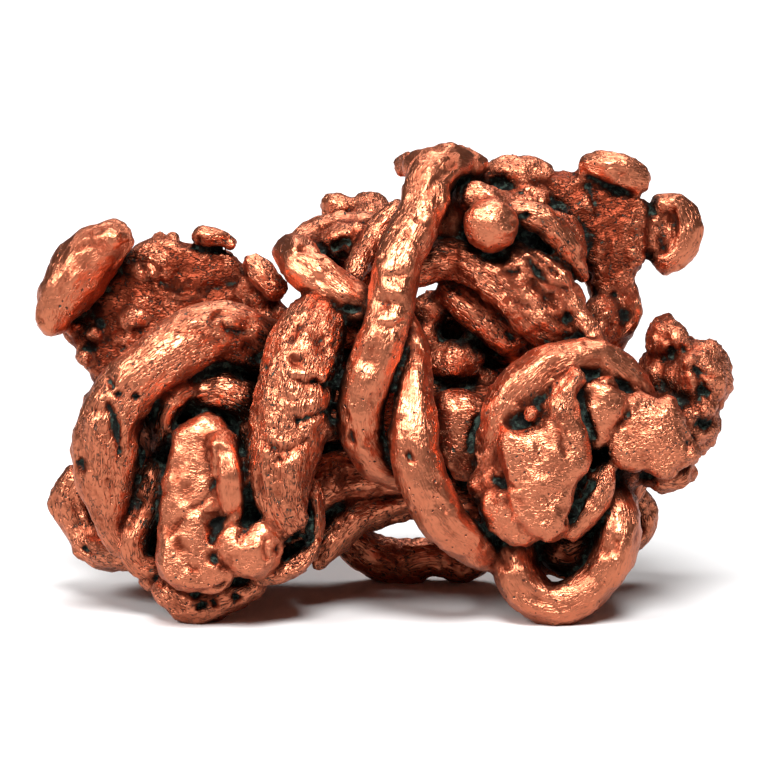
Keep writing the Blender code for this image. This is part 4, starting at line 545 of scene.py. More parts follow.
class NuggetShape(bpy.types.PropertyGroup):
    """How the forms grow together and how the nugget stands."""

    lean: FloatProperty(
        name="Lean", description="How far the face leans back when the nugget rests on its low points",
        default=math.radians(9.5), subtype="ANGLE")
    stands_at: FloatVectorProperty(
        name="Stands at", description="The face-on point that lies under the nugget's middle, on the ground",
        default=(0.0, 0.00255, -0.0019), subtype="XYZ", unit="LENGTH", precision=5)
    fuse_cell: length_setting("Fuse cell", 0.00033, "Cell size of the grid in which the forms grow together")
    rounding: IntProperty(
        name="Rounding", description="Passes that soften the creases between forms", default=3, min=0)
    deepening: strength_setting("Deepening", 1.1, "How much deeper the creases between forms are made")
    most_triangles: IntProperty(
        name="Most triangles", description="Triangles that the finished skin may have", default=190000)
    back_share: share_setting(
        "Back share", 0.6, "Share of the faces turned away that is kept before the whole is thinned")


class NuggetSkin(bpy.types.PropertyGroup):
    """The relief of the skin."""

    facet: length_setting("Facet", 0.0027, "Size of the larger hammered facets")
    facet_force: share_setting("Facet force", 0.6, "How flat the larger facets are beaten")
    chip: length_setting("Chip", 0.0011, "Size of the smaller facets")
    chip_force: share_setting("Chip force", 0.3, "How flat the smaller facets are beaten")
    dent_height: length_setting("Dent height", 0.00048, "Height of the broad dents and swellings")
    dent_length: length_setting("Dent length", 0.0042, "Distance between one swelling and the next")
    crumple_height: length_setting("Crumple height", 0.00031, "Height of the crumpled facets")
    crumple_length: length_setting("Crumple length", 0.0019, "Size of a larger crumpled facet")
    wrinkle_height: length_setting("Wrinkle height", 0.0008, "Height of the folds that run along a strand")
    wrinkle_length: length_setting("Wrinkle length", 0.0022, "Distance between one fold and the next")
    pit_depth: length_setting("Pit depth", 0.0004, "Depth of the small pits")
    pit_spacing: length_setting("Pit spacing", 0.0013, "Distance between pits where they crowd together")
    pit_share: share_setting("Pit share", 0.45, "Share of the skin that carries pits")
    seed: FloatProperty(name="Seed", description="Moves every pattern to another place", default=3.0)


class NuggetFinish(bpy.types.PropertyGroup):
    """The colours of the copper and of what lies in its creases."""

    # Bright copper also serves as a painted highlight where the skin stands proud, and brown copper as
    # painted shade where it is closed in.
    bright: colour_setting("Bright copper", (0.9, 0.28, 0.145), "Colour of the worn swellings")
    brown: colour_setting("Brown copper", (0.28, 0.054, 0.024), "Colour of the tarnished lows")
    patina: colour_setting("Patina", (0.006, 0.008, 0.006), "Colour of the dark crust in the creases")
    verdigris: colour_setting("Verdigris", (0.045, 0.075, 0.058), "Colour of the pale green flecks")
    gloss_roughness: share_setting("Roughness of worn copper", 0.33, "Roughness of the worn swellings")
    tarnish_roughness: share_setting("Roughness of tarnish", 0.5, "Roughness of the tarnished lows")


class NuggetStudio(bpy.types.PropertyGroup):
    """The floor, the lights and the camera."""

    floor_colour: colour_setting("Floor colour", (0.88, 0.88, 0.88), "Colour of the pale floor")
    floor_bounce: share_setting("Floor bounce", 0.5, "Share of the floor's light that it throws back")
    surround: strength_setting("Surround", 0.05, "Strength of the light that comes from all round")
    key_strength: strength_setting("Key strength", 3.7, "Strength of the soft light above the front")
    second_strength: strength_setting("Second strength", 1.65, "Strength of the soft light at the left")
    back_strength: strength_setting("Back strength", 1.3, "Strength of the soft light above and behind")
    view_width: length_setting("View width", 0.096, "Width of the view at the nugget")
    view_distance: length_setting("View distance", 1.5, "Distance from the camera to the nugget")


def curve_through(stations, step):
    """Points of a smooth curve through the stations, with every other value eased along with it."""
    knots = np.array(stations, float)
    padded = np.vstack([2 * knots[0] - knots[1], knots, 2 * knots[-1] - knots[-2]])
    points = []
    for before, start, end, after in zip(padded, padded[1:], padded[2:], padded[3:]):
        count = max(2, int(np.linalg.norm((end - start)[:3]) / step))
        for t in np.arange(count) / count:
            bend = 2 * before - 5 * start + 4 * end - after
            twist = 3 * (start - end) + after - before
            points.append(start + 0.5 * t * ((end - before) + t * (bend + t * twist)))
    points.append(knots[-1])
    return np.array(points)


def unit(vector):
    return vector / np.linalg.norm(vector)


def cross_section():
    """One turn of a slightly boxy oval, with half sizes of 1."""
    turn = np.linspace(0, 2 * math.pi, SIDES, endpoint=False)
    cosine, sine = np.cos(turn), np.sin(turn)
    power = 2 / CORNER
    return np.sign(cosine) * abs(cosine) ** power, np.sign(sine) * abs(sine) ** power


def add_rings(bm, rings, first_tip, last_tip, grain):
    """Skins a row of rings and closes both ends on a point. Each ring comes with the grain of its points."""
    lay = bm.verts.layers.float_vector["grain"]

    def put(point, along_grain):
        vert = bm.verts.new(point)
        vert[lay] = along_grain
        return vert

    rows = [[put(*pair) for pair in zip(ring, lies)] for ring, lies in zip(rings, grain)]
    for row, other in zip(rows, rows[1:]):
        for i in range(len(row)):
            j = (i + 1) % len(row)
            bm.faces.new((row[i], row[j], other[j], other[i]))
    for row, tip, flip in ((rows[0], first_tip, True), (rows[-1], last_tip, False)):
        end = put(tip, sum((vert[lay] for vert in row), Vector()) / len(row))
        for i in range(len(row)):
            j = (i + 1) % len(row)
            corners = (row[j], row[i], end) if flip else (row[i], row[j], end)
            bm.faces.new(corners)


def add_strand(bm, stations, offset):
    """A strand. Its grain is the way along it, squeezed, and the place within its cross-section."""
    points = curve_through(stations, STEP)
    centres, sizes = points[:, :3], points[:, 3:5] / 2
    tangents = np.gradient(centres, axis=0)
    travelled = np.concatenate([[0], np.cumsum(np.linalg.norm(np.diff(centres, axis=0), axis=1))])
    across = np.array([1.0, 0, 0])
    outline_across, outline_through = cross_section()
    rings, grain = [], []

    def add_ring(centre, along, size, shift, scale, way):
        through = unit(np.cross(along, across))
        middle = centre + along * shift
        spots = [(a * size[0] * scale, b * size[1] * scale) for a, b in zip(outline_across, outline_through)]
        rings.append([middle + a * across + b * through for a, b in spots])
        grain.append([(offset + (way + shift) * GRAIN_SQUEEZE, a, b) for a, b in spots])

    last = len(centres) - 1
    for k, (centre, tangent, size, way) in enumerate(zip(centres, tangents, sizes, travelled)):
        along = unit(tangent)
        level = np.cross((0, 0, 1), along)
        if np.linalg.norm(level) > UPRIGHT_ENOUGH:
            level = unit(level)
            across = level if level @ across >= 0 or k == 0 else -level
        across = unit(across - along * (across @ along))
        reach = CAP_REACH * size.min()
        caps = [(reach * math.sin(math.radians(a)), math.cos(math.radians(a))) for a in CAP_ANGLES]
        if k == 0:
            first_tip = centre - along * reach
            for shift, scale in reversed(caps):
                add_ring(centre, along, size, -shift, scale, way)
        add_ring(centre, along, size, 0, 1, way)
        if k == last:
            last_tip = centre + along * reach
            for shift, scale in caps:
                add_ring(centre, along, size, shift, scale, way)
    add_rings(bm, rings, first_tip, last_tip, grain)


def add_lumps(bm, lumps, offset):
    """Balls squeezed to their half sizes."""
    lay = bm.verts.layers.float_vector["grain"]
    for u, v, d, *half in lumps:
        place = Matrix.Translation((u, v, d)) @ Matrix.Diagonal((*half, 1))
        ball = bmesh.ops.create_icosphere(bm, subdivisions=BALL_SUBDIVISIONS, radius=1, matrix=place)
        for vert in ball["verts"]:
            vert[lay] = vert.co + Vector((offset, 0, 0))


def add_slab(bm, slab, offset):
    """A plate with a rounded rim and a slightly domed face, sloping along u and v."""
    depth, thickness, slope_u, slope_v, outline = slab
    closed = [outline[-1], *outline, outline[0], outline[1]]
    edge = curve_through([(u, v, 0) for u, v in closed], STEP)[:, :2]
    from_start = np.linalg.norm(edge - outline[0], axis=1)
    start = np.argmin(from_start)
    after = start + TURN_PAST
    edge = edge[start:after + np.argmin(from_start[after:])]
    middle = edge.mean(axis=0)
    ahead = np.roll(edge, -1, axis=0) - np.roll(edge, 1, axis=0)
    area = np.sum(edge[:, 0] * np.roll(edge[:, 1], -1) - edge[:, 1] * np.roll(edge[:, 0], -1))
    inward = np.stack([-ahead[:, 1], ahead[:, 0]], axis=1) * math.copysign(1, area)
    for _ in range(OUTLINE_EASING):
        inward = (np.roll(inward, 1, axis=0) + 2 * inward + np.roll(inward, -1, axis=0)) / 4
    inward /= np.linalg.norm(inward, axis=1, keepdims=True)
    rim = min(thickness / 2, RIM)
    flat = thickness / 2 - rim

    def level(inset, shrink, rise):
        spot = edge + inward * inset
        spot = middle + (spot - middle) * shrink
        lie = depth + (spot[:, 0] - middle[0]) * slope_u + (spot[:, 1] - middle[1]) * slope_v
        return np.column_stack([spot, lie + rise])

    drawn_in = rim * RIM_DRAWN_IN
    turns = np.radians(RIM_ANGLES)
    rises = [(drawn_in * (1 - math.cos(a)), 1, flat + rim * math.sin(a)) for a in turns]
    rises += [(drawn_in, share, thickness / 2 + height) for share, height in DOME_RINGS]
    rings = [level(inset, shrink, -rise) for inset, shrink, rise in reversed(rises)]
    rings += [level(inset, shrink, rise) for inset, shrink, rise in rises]
    tip = thickness / 2 + DOME
    grain = [ring * (SLAB_SQUEEZE, 1, 1) + (offset, 0, 0) for ring in rings]
    add_rings(bm, rings, (*middle, depth - tip), (*middle, depth + tip), grain)


def forms_mesh():
    """Every form as a closed skin of its own, overlapping its neighbours, with its grain and crumple."""
    bm = bmesh.new()
    bm.verts.layers.float_vector.new("grain")
    adders = ((STRANDS, add_strand), (LUMPS, add_lumps), (SLABS, add_slab))
    named = [(name, form, add) for forms, add in adders for name, form in forms.items()]
    crumple = []
    for k, (name, form, add) in enumerate(named):
        add(bm, form, GRAIN_APART * k)
        crumple += [CRUMPLED.get(name, CRUMPLED_MOST)] * (len(bm.verts) - len(crumple))
    bmesh.ops.recalc_face_normals(bm, faces=bm.faces)
    bmesh.ops.scale(bm, vec=(MM, MM, MM), verts=bm.verts)
    mesh = bpy.data.meshes.new("forms")
    bm.to_mesh(mesh)
    bm.free()
    store(mesh, "crumple", crumple)
    return mesh


def apply_modifiers(obj):
    """Works the object's modifiers into its mesh."""
    graph = bpy.context.evaluated_depsgraph_get()
    mesh = bpy.data.meshes.new_from_object(obj.evaluated_get(graph))
    obj.modifiers.clear()
    obj.data = mesh


def new_object(name, mesh):
    obj = bpy.data.objects.new(name, mesh)
    bpy.context.scene.collection.objects.link(obj)
    return obj


def fuse(obj, shape):
    """Grows the overlapping forms into one skin and softens the creases between them."""
    remesh = obj.modifiers.new("fuse", "REMESH")
    remesh.mode = "VOXEL"
    remesh.voxel_size = shape.fuse_cell
    soften(obj, shape.rounding)


def soften(obj, passes):
    """Smooths the mesh, once the modifiers that the object already has are worked in."""
    smooth = obj.modifiers.new("soften", "SMOOTH")
    smooth.factor = SMOOTHING
    smooth.iterations = passes
    apply_modifiers(obj)


def read_points(what, attribute, width=3):
    """An attribute of each point, normal or face, as rows of numbers."""
    values = np.empty(len(what) * width, np.float32)
    what.foreach_get(attribute, values)
    return (values.reshape(-1, width) if width > 1 else values).astype(float)


def store(mesh, name, values):
    """Keeps one number for each point of the mesh."""
    lay = mesh.attributes.get(name) or mesh.attributes.new(name, "FLOAT", "POINT")
    lay.data.foreach_set("value", np.ascontiguousarray(values, np.float32))


def distance_to_path(points, path):
    """How far each point lies from a path, both seen face on."""
    nearest = np.full(len(points), np.inf)
    for start, end in zip(path, path[1:]):
        start, step = np.array(start), np.subtract(end, start)
        share = np.clip((points - start) @ step / (step @ step), 0, 1)
        nearest = np.minimum(nearest, np.linalg.norm(points - start - share[:, None] * step, axis=1))
    return nearest


def eased(mesh, values, passes):
    """The values after each point has been averaged with its neighbours a few times."""
    ends = np.empty(len(mesh.edges) * 2, np.int32)
    mesh.edges.foreach_get("vertices", ends)
    first, second = ends[0::2], ends[1::2]
    count = np.bincount(ends, minlength=len(values)) + 1
    for _ in range(passes):
        total = values.copy()
        total += np.bincount(first, values[second], len(values))
        total += np.bincount(second, values[first], len(values))
        values = total / count
    return values


def stands_proud(mesh, passes):
    """How far each point stands out from its surroundings, in millimetres. It is below 0 in a crease."""
    points = read_points(mesh.vertices, "co")
    normals = read_points(mesh.vertex_normals, "vector")
    around = np.stack([eased(mesh, points[:, k], passes) for k in range(3)], axis=1)
    return ((points - around) * normals).sum(axis=1) / MM


def deepen(mesh, shape):
    """Deepens the creases between the forms."""
    creased = np.clip(-stands_proud(mesh, CREASE_PASSES), 0, CREASE_MOST)
    points = read_points(mesh.vertices, "co")
    points -= read_points(mesh.vertex_normals, "vector") * (creased * shape.deepening * MM)[:, None]
    mesh.vertices.foreach_set("co", points.ravel())
    mesh.update()


def total_by(labels, values, count):
    """The sum of the rows that share a label."""
    return np.stack([np.bincount(labels, values[:, k], count) for k in range(values.shape[1])], axis=1)


def hammer(mesh, spacing, force, seed):
    """Beats the skin towards small flat facets, a little tilted, about as far apart as the spacing."""
    points = read_points(mesh.vertices, "co") / MM
    normals = read_points(mesh.vertex_normals, "vector")
    area = read_points(mesh.polygons, "area", 1).sum() / MM**2
    random = np.random.default_rng(seed)
    count = int(area / spacing**2)
    middles = KDTree(count)
    for k, vert in enumerate(random.choice(len(points), count, replace=False)):
        middles.insert(points[vert], k)
    middles.balance()
    bent = points + FACET_SWAY * spacing * np.sin(points[:, [1, 2, 0]] * FACET_SWAY_TURNS / spacing)
    labels = np.array([middles.find(point)[1] for point in bent.tolist()])
    held = np.maximum(np.bincount(labels, minlength=count), 1)[:, None]
    centres = total_by(labels, points, count) / held
    faces = total_by(labels, normals, count) / held + random.normal(0, FACET_TILT, (count, 3))
    faces /= np.linalg.norm(faces, axis=1, keepdims=True) + 1e-9
    faces, centres = faces[labels], centres[labels]
    agrees = np.clip((normals * faces).sum(axis=1), 0, 1) ** 2
    above = np.clip(((points - centres) * faces).sum(axis=1), -FACET_MOST, FACET_MOST)
    points -= faces * (above * agrees * force)[:, None]
    mesh.vertices.foreach_set("co", (points * MM).ravel())
    mesh.update()


def front_most(points, reach):
    """Which points are met first from the front, or lie less than the reach behind those that are."""
    spots = np.floor((points[:, :2] - points[:, :2].min(axis=0)) / FRONT_CELL).astype(int)
    nearest = np.full(spots.max(axis=0) + 1, -np.inf)
    np.maximum.at(nearest, (spots[:, 0], spots[:, 1]), points[:, 2])
    return points[:, 2] > nearest[spots[:, 0], spots[:, 1]] - reach


def carve(mesh):
    """Cuts the grooves into the front and raises its ridges. It keeps how deep each point was cut."""
    points = read_points(mesh.vertices, "co") / MM
    normals = read_points(mesh.vertex_normals, "vector")
    front = front_most(points, GROOVE_BEHIND) & (normals[:, 2] > GROOVE_FACING)
    shown = points[front]
    cut = np.zeros(len(shown))
    for path, width, depth in GROOVES.values():
        half = max(width * GROOVE_WIDER, GROOVE_LEAST) / 2
        near = np.abs(shown[:, :2] - np.mean(path, axis=0)).max(axis=1) < GROOVE_REACH
        away = distance_to_path(shown[near, :2], path) / half
        cut[near] += depth * np.exp(-away**2)
    facing = np.clip(normals[front, 2] * FACING_GAIN, 0, 1)
    push = np.zeros(len(points))
    push[front] = cut * facing
    points -= push[:, None] * (normals * CUT_ALONG_NORMAL + np.array([0, 0, CUT_BACK]))
    mesh.vertices.foreach_set("co", (points * MM).ravel())
    store(mesh, "groove", push)
    mesh.update()


def link(tree, value, socket):
    """Links a socket to another, or sets a value on it."""
    if isinstance(value, bpy.types.NodeSocket):
        tree.links.new(value, socket)
    else:
        socket.default_value = value


def add_node(tree, kind, inputs=None, **settings):
    """A node with its settings, its inputs linked to sockets or set to values."""
    node = tree.nodes.new(kind)
    for name, value in settings.items():
        setattr(node, name, value)
    for name, value in (inputs or {}).items():
        link(tree, value, node.inputs[name])
    return node


def vector_math(tree, operation, first, second):
    """Adds or subtracts two vectors, or scales a vector by a number."""
    inputs = {0: first, 3 if operation == "SCALE" else 1: second}
    return add_node(tree, "ShaderNodeVectorMath", inputs, operation=operation).outputs["Vector"]


def numbers_in(tree):
    """What works out numbers in a tree: of does one operation, and swing makes a value swing about 0."""
    def of(operation, *values):
        return add_node(tree, "ShaderNodeMath", dict(enumerate(values)), operation=operation).outputs[0]

    def swing(value, height, middle=0.5):
        return of("MULTIPLY", of("SUBTRACT", value, middle), height)

    return of, swing


def ramp(tree, value, low, high, from_value=0.0, to_value=1.0):
    """Eases from from_value at low to to_value at high."""
    inputs = {"Value": value, "From Min": low, "From Max": high, "To Min": from_value, "To Max": to_value}
    node = add_node(tree, "ShaderNodeMapRange", inputs, interpolation_type="SMOOTHSTEP")
    return node.outputs["Result"]


def noise_of(tree, vector, scale, seed=None, detail=2.0, roughness=0.5):
    """Noise between 0 and 1. A seed takes it from another place."""
    inputs = {"Vector": vector, "Scale": scale, "Detail": detail, "Roughness": roughness}
    if seed is None:
        return add_node(tree, "ShaderNodeTexNoise", inputs).outputs[0]
    return add_node(tree, "ShaderNodeTexNoise", {**inputs, "W": seed}, noise_dimensions="4D").outputs[0]


def noise_vector(tree, vector, scale, detail=2.0):
    """Noise of three numbers, each between 0 and 1."""
    inputs = {"Vector": vector, "Scale": scale, "Detail": detail}
    return add_node(tree, "ShaderNodeTexNoise", inputs).outputs["Color"]


def cells_of(tree, vector, scale, metric="EUCLIDEAN"):
    """Cells round scattered points, and how far each place lies from its own."""
    return add_node(tree, "ShaderNodeTexVoronoi", {"Vector": vector, "Scale": scale}, distance=metric)


def field_of(tree, name, kind):
    """A named attribute of the points, as a field."""
    node = add_node(tree, "GeometryNodeInputNamedAttribute", {"Name": name}, data_type=kind)
    return node.outputs["Attribute"]


def sampled(tree, forms, name, kind):
    """A named attribute of the forms, taken from where they lie nearest to the skin."""
    inputs = {"Mesh": forms, "Value": field_of(tree, name, kind)}
    return add_node(tree, "GeometryNodeSampleNearestSurface", inputs, data_type=kind).outputs["Value"]


def with_field(tree, geometry, name, value, kind="FLOAT"):
    """The geometry, with the field kept under a name."""
    inputs = {"Geometry": geometry, "Name": name, "Value": value}
    node = add_node(tree, "GeometryNodeStoreNamedAttribute", inputs, data_type=kind)
    return node.outputs["Geometry"]


# The settings of the skin that its node tree takes as inputs.
RELIEF = (
    "dent_height", "dent_length", "crumple_height", "crumple_length", "wrinkle_height", "wrinkle_length",
    "pit_depth", "pit_spacing", "pit_share", "seed")

# Scales and lengths of the relief's noises, per metre and in metres.
SHAKE_SCALE, SHAKE_REACH = 330.0, 0.0016  # pushes the crumpled facets out of line
PIT_SHAKE_SCALE, PIT_SHAKE_REACH = 900.0, 0.0004  # makes the pits uneven
CRUMPLE_PATCH_SCALE = 160.0
PIT_PATCH_SCALE = 230.0
CRUMPLE_SIZES = ((1.0, "MANHATTAN"), (0.45, "EUCLIDEAN"))


def title_of(setting):
    return setting.replace("_", " ").title()


def skin_tree():
    """Moves a skin in and out: broad dents, small crumpled facets, wrinkles along the strands, and pits."""
    tree = bpy.data.node_groups.new("hammered copper skin", "GeometryNodeTree")
    inputs = [("Geometry", "Geometry"), ("Forms", "Object"), ("Material", "Material")]
    for name, kind in inputs + [(title_of(setting), "Float") for setting in RELIEF]:
        tree.interface.new_socket(name, in_out="INPUT", socket_type="NodeSocket" + kind)
    tree.interface.new_socket("Geometry", in_out="OUTPUT", socket_type="NodeSocketGeometry")
    given = tree.nodes.new("NodeGroupInput").outputs
    seed = given["Seed"]
    forms = add_node(tree, "GeometryNodeObjectInfo", {"Object": given["Forms"]}).outputs["Geometry"]
    place = add_node(tree, "GeometryNodeInputPosition").outputs["Position"]
    grain = sampled(tree, forms, "grain", "FLOAT_VECTOR")
    rough = sampled(tree, forms, "crumple", "FLOAT")
    of, swing = numbers_in(tree)

    def per(setting):
        return of("DIVIDE", 1.0, given[setting])

    def elsewhere(way):
        return of("ADD", seed, way)

    dents = swing(noise_of(tree, place, per("Dent Length"), seed), given["Dent Height"])
    dents = of("MULTIPLY", dents, 2.0)

    # Crumpled facets, in two sizes: each is a small flat-sided hollow with creased edges.
    shake = vector_math(tree, "SCALE", noise_vector(tree, place, SHAKE_SCALE), SHAKE_REACH)
    bent = vector_math(tree, "ADD", place, shake)
    facets = []
    for size, metric in CRUMPLE_SIZES:
        cell = of("MULTIPLY", given["Crumple Length"], size)
        cells = cells_of(tree, bent, of("DIVIDE", 1.0, cell), metric)
        facets.append(of("MULTIPLY", cells.outputs["Distance"], size))
    crest = of("MULTIPLY", of("ADD", *facets), 0.75)
    patch = noise_of(tree, place, CRUMPLE_PATCH_SCALE, elsewhere(9.0), 1.0)
    where = ramp(tree, patch, 0.38, 0.62, 0.3, 1.0)
    crumple = of("MULTIPLY", swing(crest, given["Crumple Height"], 0.72), where)
    crumple = of("MULTIPLY", crumple, rough)

    # Wrinkles run along the grain: rounded folds with a sharp crease between them.
    along = vector_math(tree, "SCALE", grain, MM)
    folds = noise_of(tree, along, per("Wrinkle Length"), elsewhere(2.0))
    folds = of("ABSOLUTE", swing(folds, 2.0))
    wrinkles = of("MULTIPLY", swing(folds, given["Wrinkle Height"], 0.22),
                  of("ADD", of("MULTIPLY", rough, 0.6), 0.4))

    # Pits crowd together in patches, and every other one is left out.
    shake = vector_math(tree, "SCALE", noise_vector(tree, place, PIT_SHAKE_SCALE), PIT_SHAKE_REACH)
    scattered = {"Vector": vector_math(tree, "ADD", place, shake), "W": seed, "Scale": per("Pit Spacing")}
    cells = add_node(tree, "ShaderNodeTexVoronoi", scattered, voronoi_dimensions="4D")
    kept = add_node(tree, "ShaderNodeSeparateXYZ", {0: cells.outputs["Color"]}).outputs["X"]
    kept = ramp(tree, kept, 0.45, 0.55)
    crowd = noise_of(tree, place, PIT_PATCH_SCALE, elsewhere(7.0))
    edge = of("SUBTRACT", 0.78, of("MULTIPLY", given["Pit Share"], 0.5))
    crowd = ramp(tree, crowd, of("SUBTRACT", edge, 0.04), of("ADD", edge, 0.04))
    bowl = ramp(tree, cells.outputs["Distance"], 0.12, 0.38, 1.0, 0.0)
    pit = of("MULTIPLY", bowl, of("MULTIPLY", crowd, kept))
    pits = of("MULTIPLY", pit, given["Pit Depth"])

    height = of("ADD", of("ADD", dents, crumple), wrinkles)
    height = of("SUBTRACT", height, pits)
    normal = add_node(tree, "GeometryNodeInputNormal").outputs["Normal"]
    shift = vector_math(tree, "SCALE", normal, height)
    skin = with_field(tree, given["Geometry"], "pit", pit)
    skin = with_field(tree, skin, "grain", grain, "FLOAT_VECTOR")
    skin = with_field(tree, skin, "crumple", rough)
    moved = add_node(tree, "GeometryNodeSetPosition", {"Geometry": skin, "Offset": shift})
    whole = add_node(tree, "GeometryNodeRealizeInstances", {"Geometry": moved.outputs["Geometry"]})
    dressed = add_node(tree, "GeometryNodeSetMaterial",
                       {"Geometry": whole.outputs["Geometry"], "Material": given["Material"]})
    add_node(tree, "NodeGroupOutput", {"Geometry": dressed.outputs["Geometry"]})
    return tree


def give_relief(obj, forms, material, skin):
    """Works the skin tree's relief into the object's mesh."""
    tree = skin_tree()
    values = {title_of(setting): getattr(skin, setting) for setting in RELIEF}
    values.update({"Forms": forms, "Material": material})
    worked = obj.modifiers.new("skin", "NODES")
    worked.node_group = tree
    for socket in tree.interface.items_tree:
        if socket.in_out == "INPUT" and socket.name in values:
            worked[socket.identifier] = values[socket.name]
    apply_modifiers(obj)


def thin_out(obj, shape):
    """Merges the smoothest faces, first among those turned away, down to the triangles allowed."""
    mesh = obj.data
    points = read_points(mesh.vertices, "co") / MM
    normals = read_points(mesh.vertex_normals, "vector")
    front = front_most(points, FRONT_BEHIND) & (normals[:, 2] > FRONT_FACING)
    group = obj.vertex_groups.new(name="turned away")
    group.add(np.flatnonzero(~front).tolist(), 1.0, "REPLACE")
    turned_away = 1 - front.mean()
    merge_faces(obj, 1 - turned_away * (1 - shape.back_share), group.name)
    obj.vertex_groups.clear()
    obj.data.calc_loop_triangles()
    merge_faces(obj, shape.most_triangles / len(obj.data.loop_triangles))


def merge_faces(obj, share, group=""):
    """Merges faces until this share of them is left, inside the group alone where one is named."""
    fewer = obj.modifiers.new("fewer", "DECIMATE")
    fewer.ratio = min(share, 1)
    fewer.vertex_group = group
    apply_modifiers(obj)


def drop_scraps(bm):
    """Keeps the one body that holds most of the points, without the scraps that merging faces leaves."""
    bodies, met = [], set()
    for seed in bm.verts:
        if seed in met:
            continue
        body, edge = {seed}, [seed]
        while edge:
            near = {side.other_vert(vert) for vert in edge for side in vert.link_edges}
            edge = near - body
            body |= edge
        met |= body
        bodies.append(body)
    bodies.sort(key=len)
    bmesh.ops.delete(bm, geom=[vert for body in bodies[:-1] for vert in body], context="VERTS")


def upright(shape):
    """The turn from the face-on frame to the world."""
    return Matrix.Rotation(math.radians(90) - shape.lean, 4, "X")


def stand(mesh, shape):
    """Leans the nugget onto its three low points and cuts them flat where they meet the ground."""
    bm = bmesh.new()
    bm.from_mesh(mesh)
    drop_scraps(bm)
    turn = upright(shape) @ Matrix.Translation(-Vector(shape.stands_at))
    bmesh.ops.transform(bm, matrix=turn, verts=bm.verts)
    whole = [*bm.verts, *bm.edges, *bm.faces]
    bmesh.ops.bisect_plane(bm, geom=whole, plane_co=(0, 0, 0), plane_no=(0, 0, 1), clear_inner=True)
    bmesh.ops.edgeloop_fill(bm, edges=[edge for edge in bm.edges if edge.is_boundary])
    bmesh.ops.triangulate(bm, faces=bm.faces)
    bmesh.ops.recalc_face_normals(bm, faces=bm.faces)
    bm.to_mesh(mesh)
    bm.free()


def keep_inside(mesh, low, high):
    """Draws in whatever stands out of the box, by shrinking a little along each side where it does."""
    points = read_points(mesh.vertices, "co")
    for axis in range(3):
        lowest, highest = points[:, axis].min(), points[:, axis].max()
        if axis == 2:
            points[:, 2] *= min(1, high[2] / highest)
            continue
        span = min(1, (high[axis] - low[axis]) / (highest - lowest))
        middle = (lowest + highest) / 2
        half = (highest - lowest) / 2 * span
        middle_kept = min(max(middle, low[axis] + half), high[axis] - half)
        points[:, axis] = middle_kept + (points[:, axis] - middle) * span
    mesh.vertices.foreach_set("co", points.ravel())
    mesh.update()


def openness(mesh):
    """How much of the sky over each point is free of the nugget itself, from 0 to 1."""
    points = read_points(mesh.vertices, "co")
    normals = read_points(mesh.vertex_normals, "vector")
    tree = BVHTree.FromPolygons(points.tolist(), [tuple(f.vertices) for f in mesh.polygons])
    reach = SHADE_REACH * MM
    golden_turn = math.pi * (3 - math.sqrt(5))
    turns = golden_turn * np.arange(SHADE_RAYS)
    heights = np.sqrt(1 - (np.arange(SHADE_RAYS) + 0.5) / SHADE_RAYS)
    flat = np.sqrt(1 - heights**2)
    spokes = np.stack([flat * np.cos(turns), flat * np.sin(turns), heights], 1)
    side = np.where(np.abs(normals[:, 2:]) < 0.9, [[0.0, 0.0, 1.0]], [[1.0, 0.0, 0.0]])
    side = np.cross(side, normals)
    side /= np.linalg.norm(side, axis=1, keepdims=True)
    other = np.cross(normals, side)
    free = np.zeros(len(points))
    starts = [Vector(p) for p in points + normals * SHADE_CLEAR * MM]
    for x, y, z in spokes:
        ways = side * x + other * y + normals * z
        for k, way in enumerate(ways.tolist()):
            distance = tree.ray_cast(starts[k], way, reach)[3]
            free[k] += 1.0 if distance is None else (distance / reach) ** SHADE_NEARNESS
    return free / SHADE_RAYS


def keep_shade(mesh):
    """Stores how closed in each point lies, and how far it stands proud of its surroundings."""
    store(mesh, "crevice", 1 - eased(mesh, openness(mesh), SHADE_EASING))
    store(mesh, "proud", stands_proud(mesh, PROUD_PASSES))


def blended(tree, share, first, second, kind="FLOAT"):
    """Goes from the first value or colour to the second."""
    node = add_node(tree, "ShaderNodeMix", data_type=kind)
    sockets = {"FLOAT": (2, 3, 0), "RGBA": (6, 7, 2)}[kind]
    link(tree, share, node.inputs[0])
    for value, socket in ((first, sockets[0]), (second, sockets[1])):
        if kind == "RGBA" and not isinstance(value, bpy.types.NodeSocket):
            value = (*value, 1)
        link(tree, value, node.inputs[socket])
    return node.outputs[sockets[2]]


def attribute(tree, name, output="Fac"):
    """What the mesh holds for each point."""
    return add_node(tree, "ShaderNodeAttribute", attribute_name=name).outputs[output]


def shaken(tree, vector, scale, reach):
    """The coordinates, pushed about a little by a noise."""
    push = vector_math(tree, "SUBTRACT", noise_vector(tree, vector, scale, 1.0), (0.5, 0.5, 0.5))
    return vector_math(tree, "ADD", vector, vector_math(tree, "SCALE", push, reach))


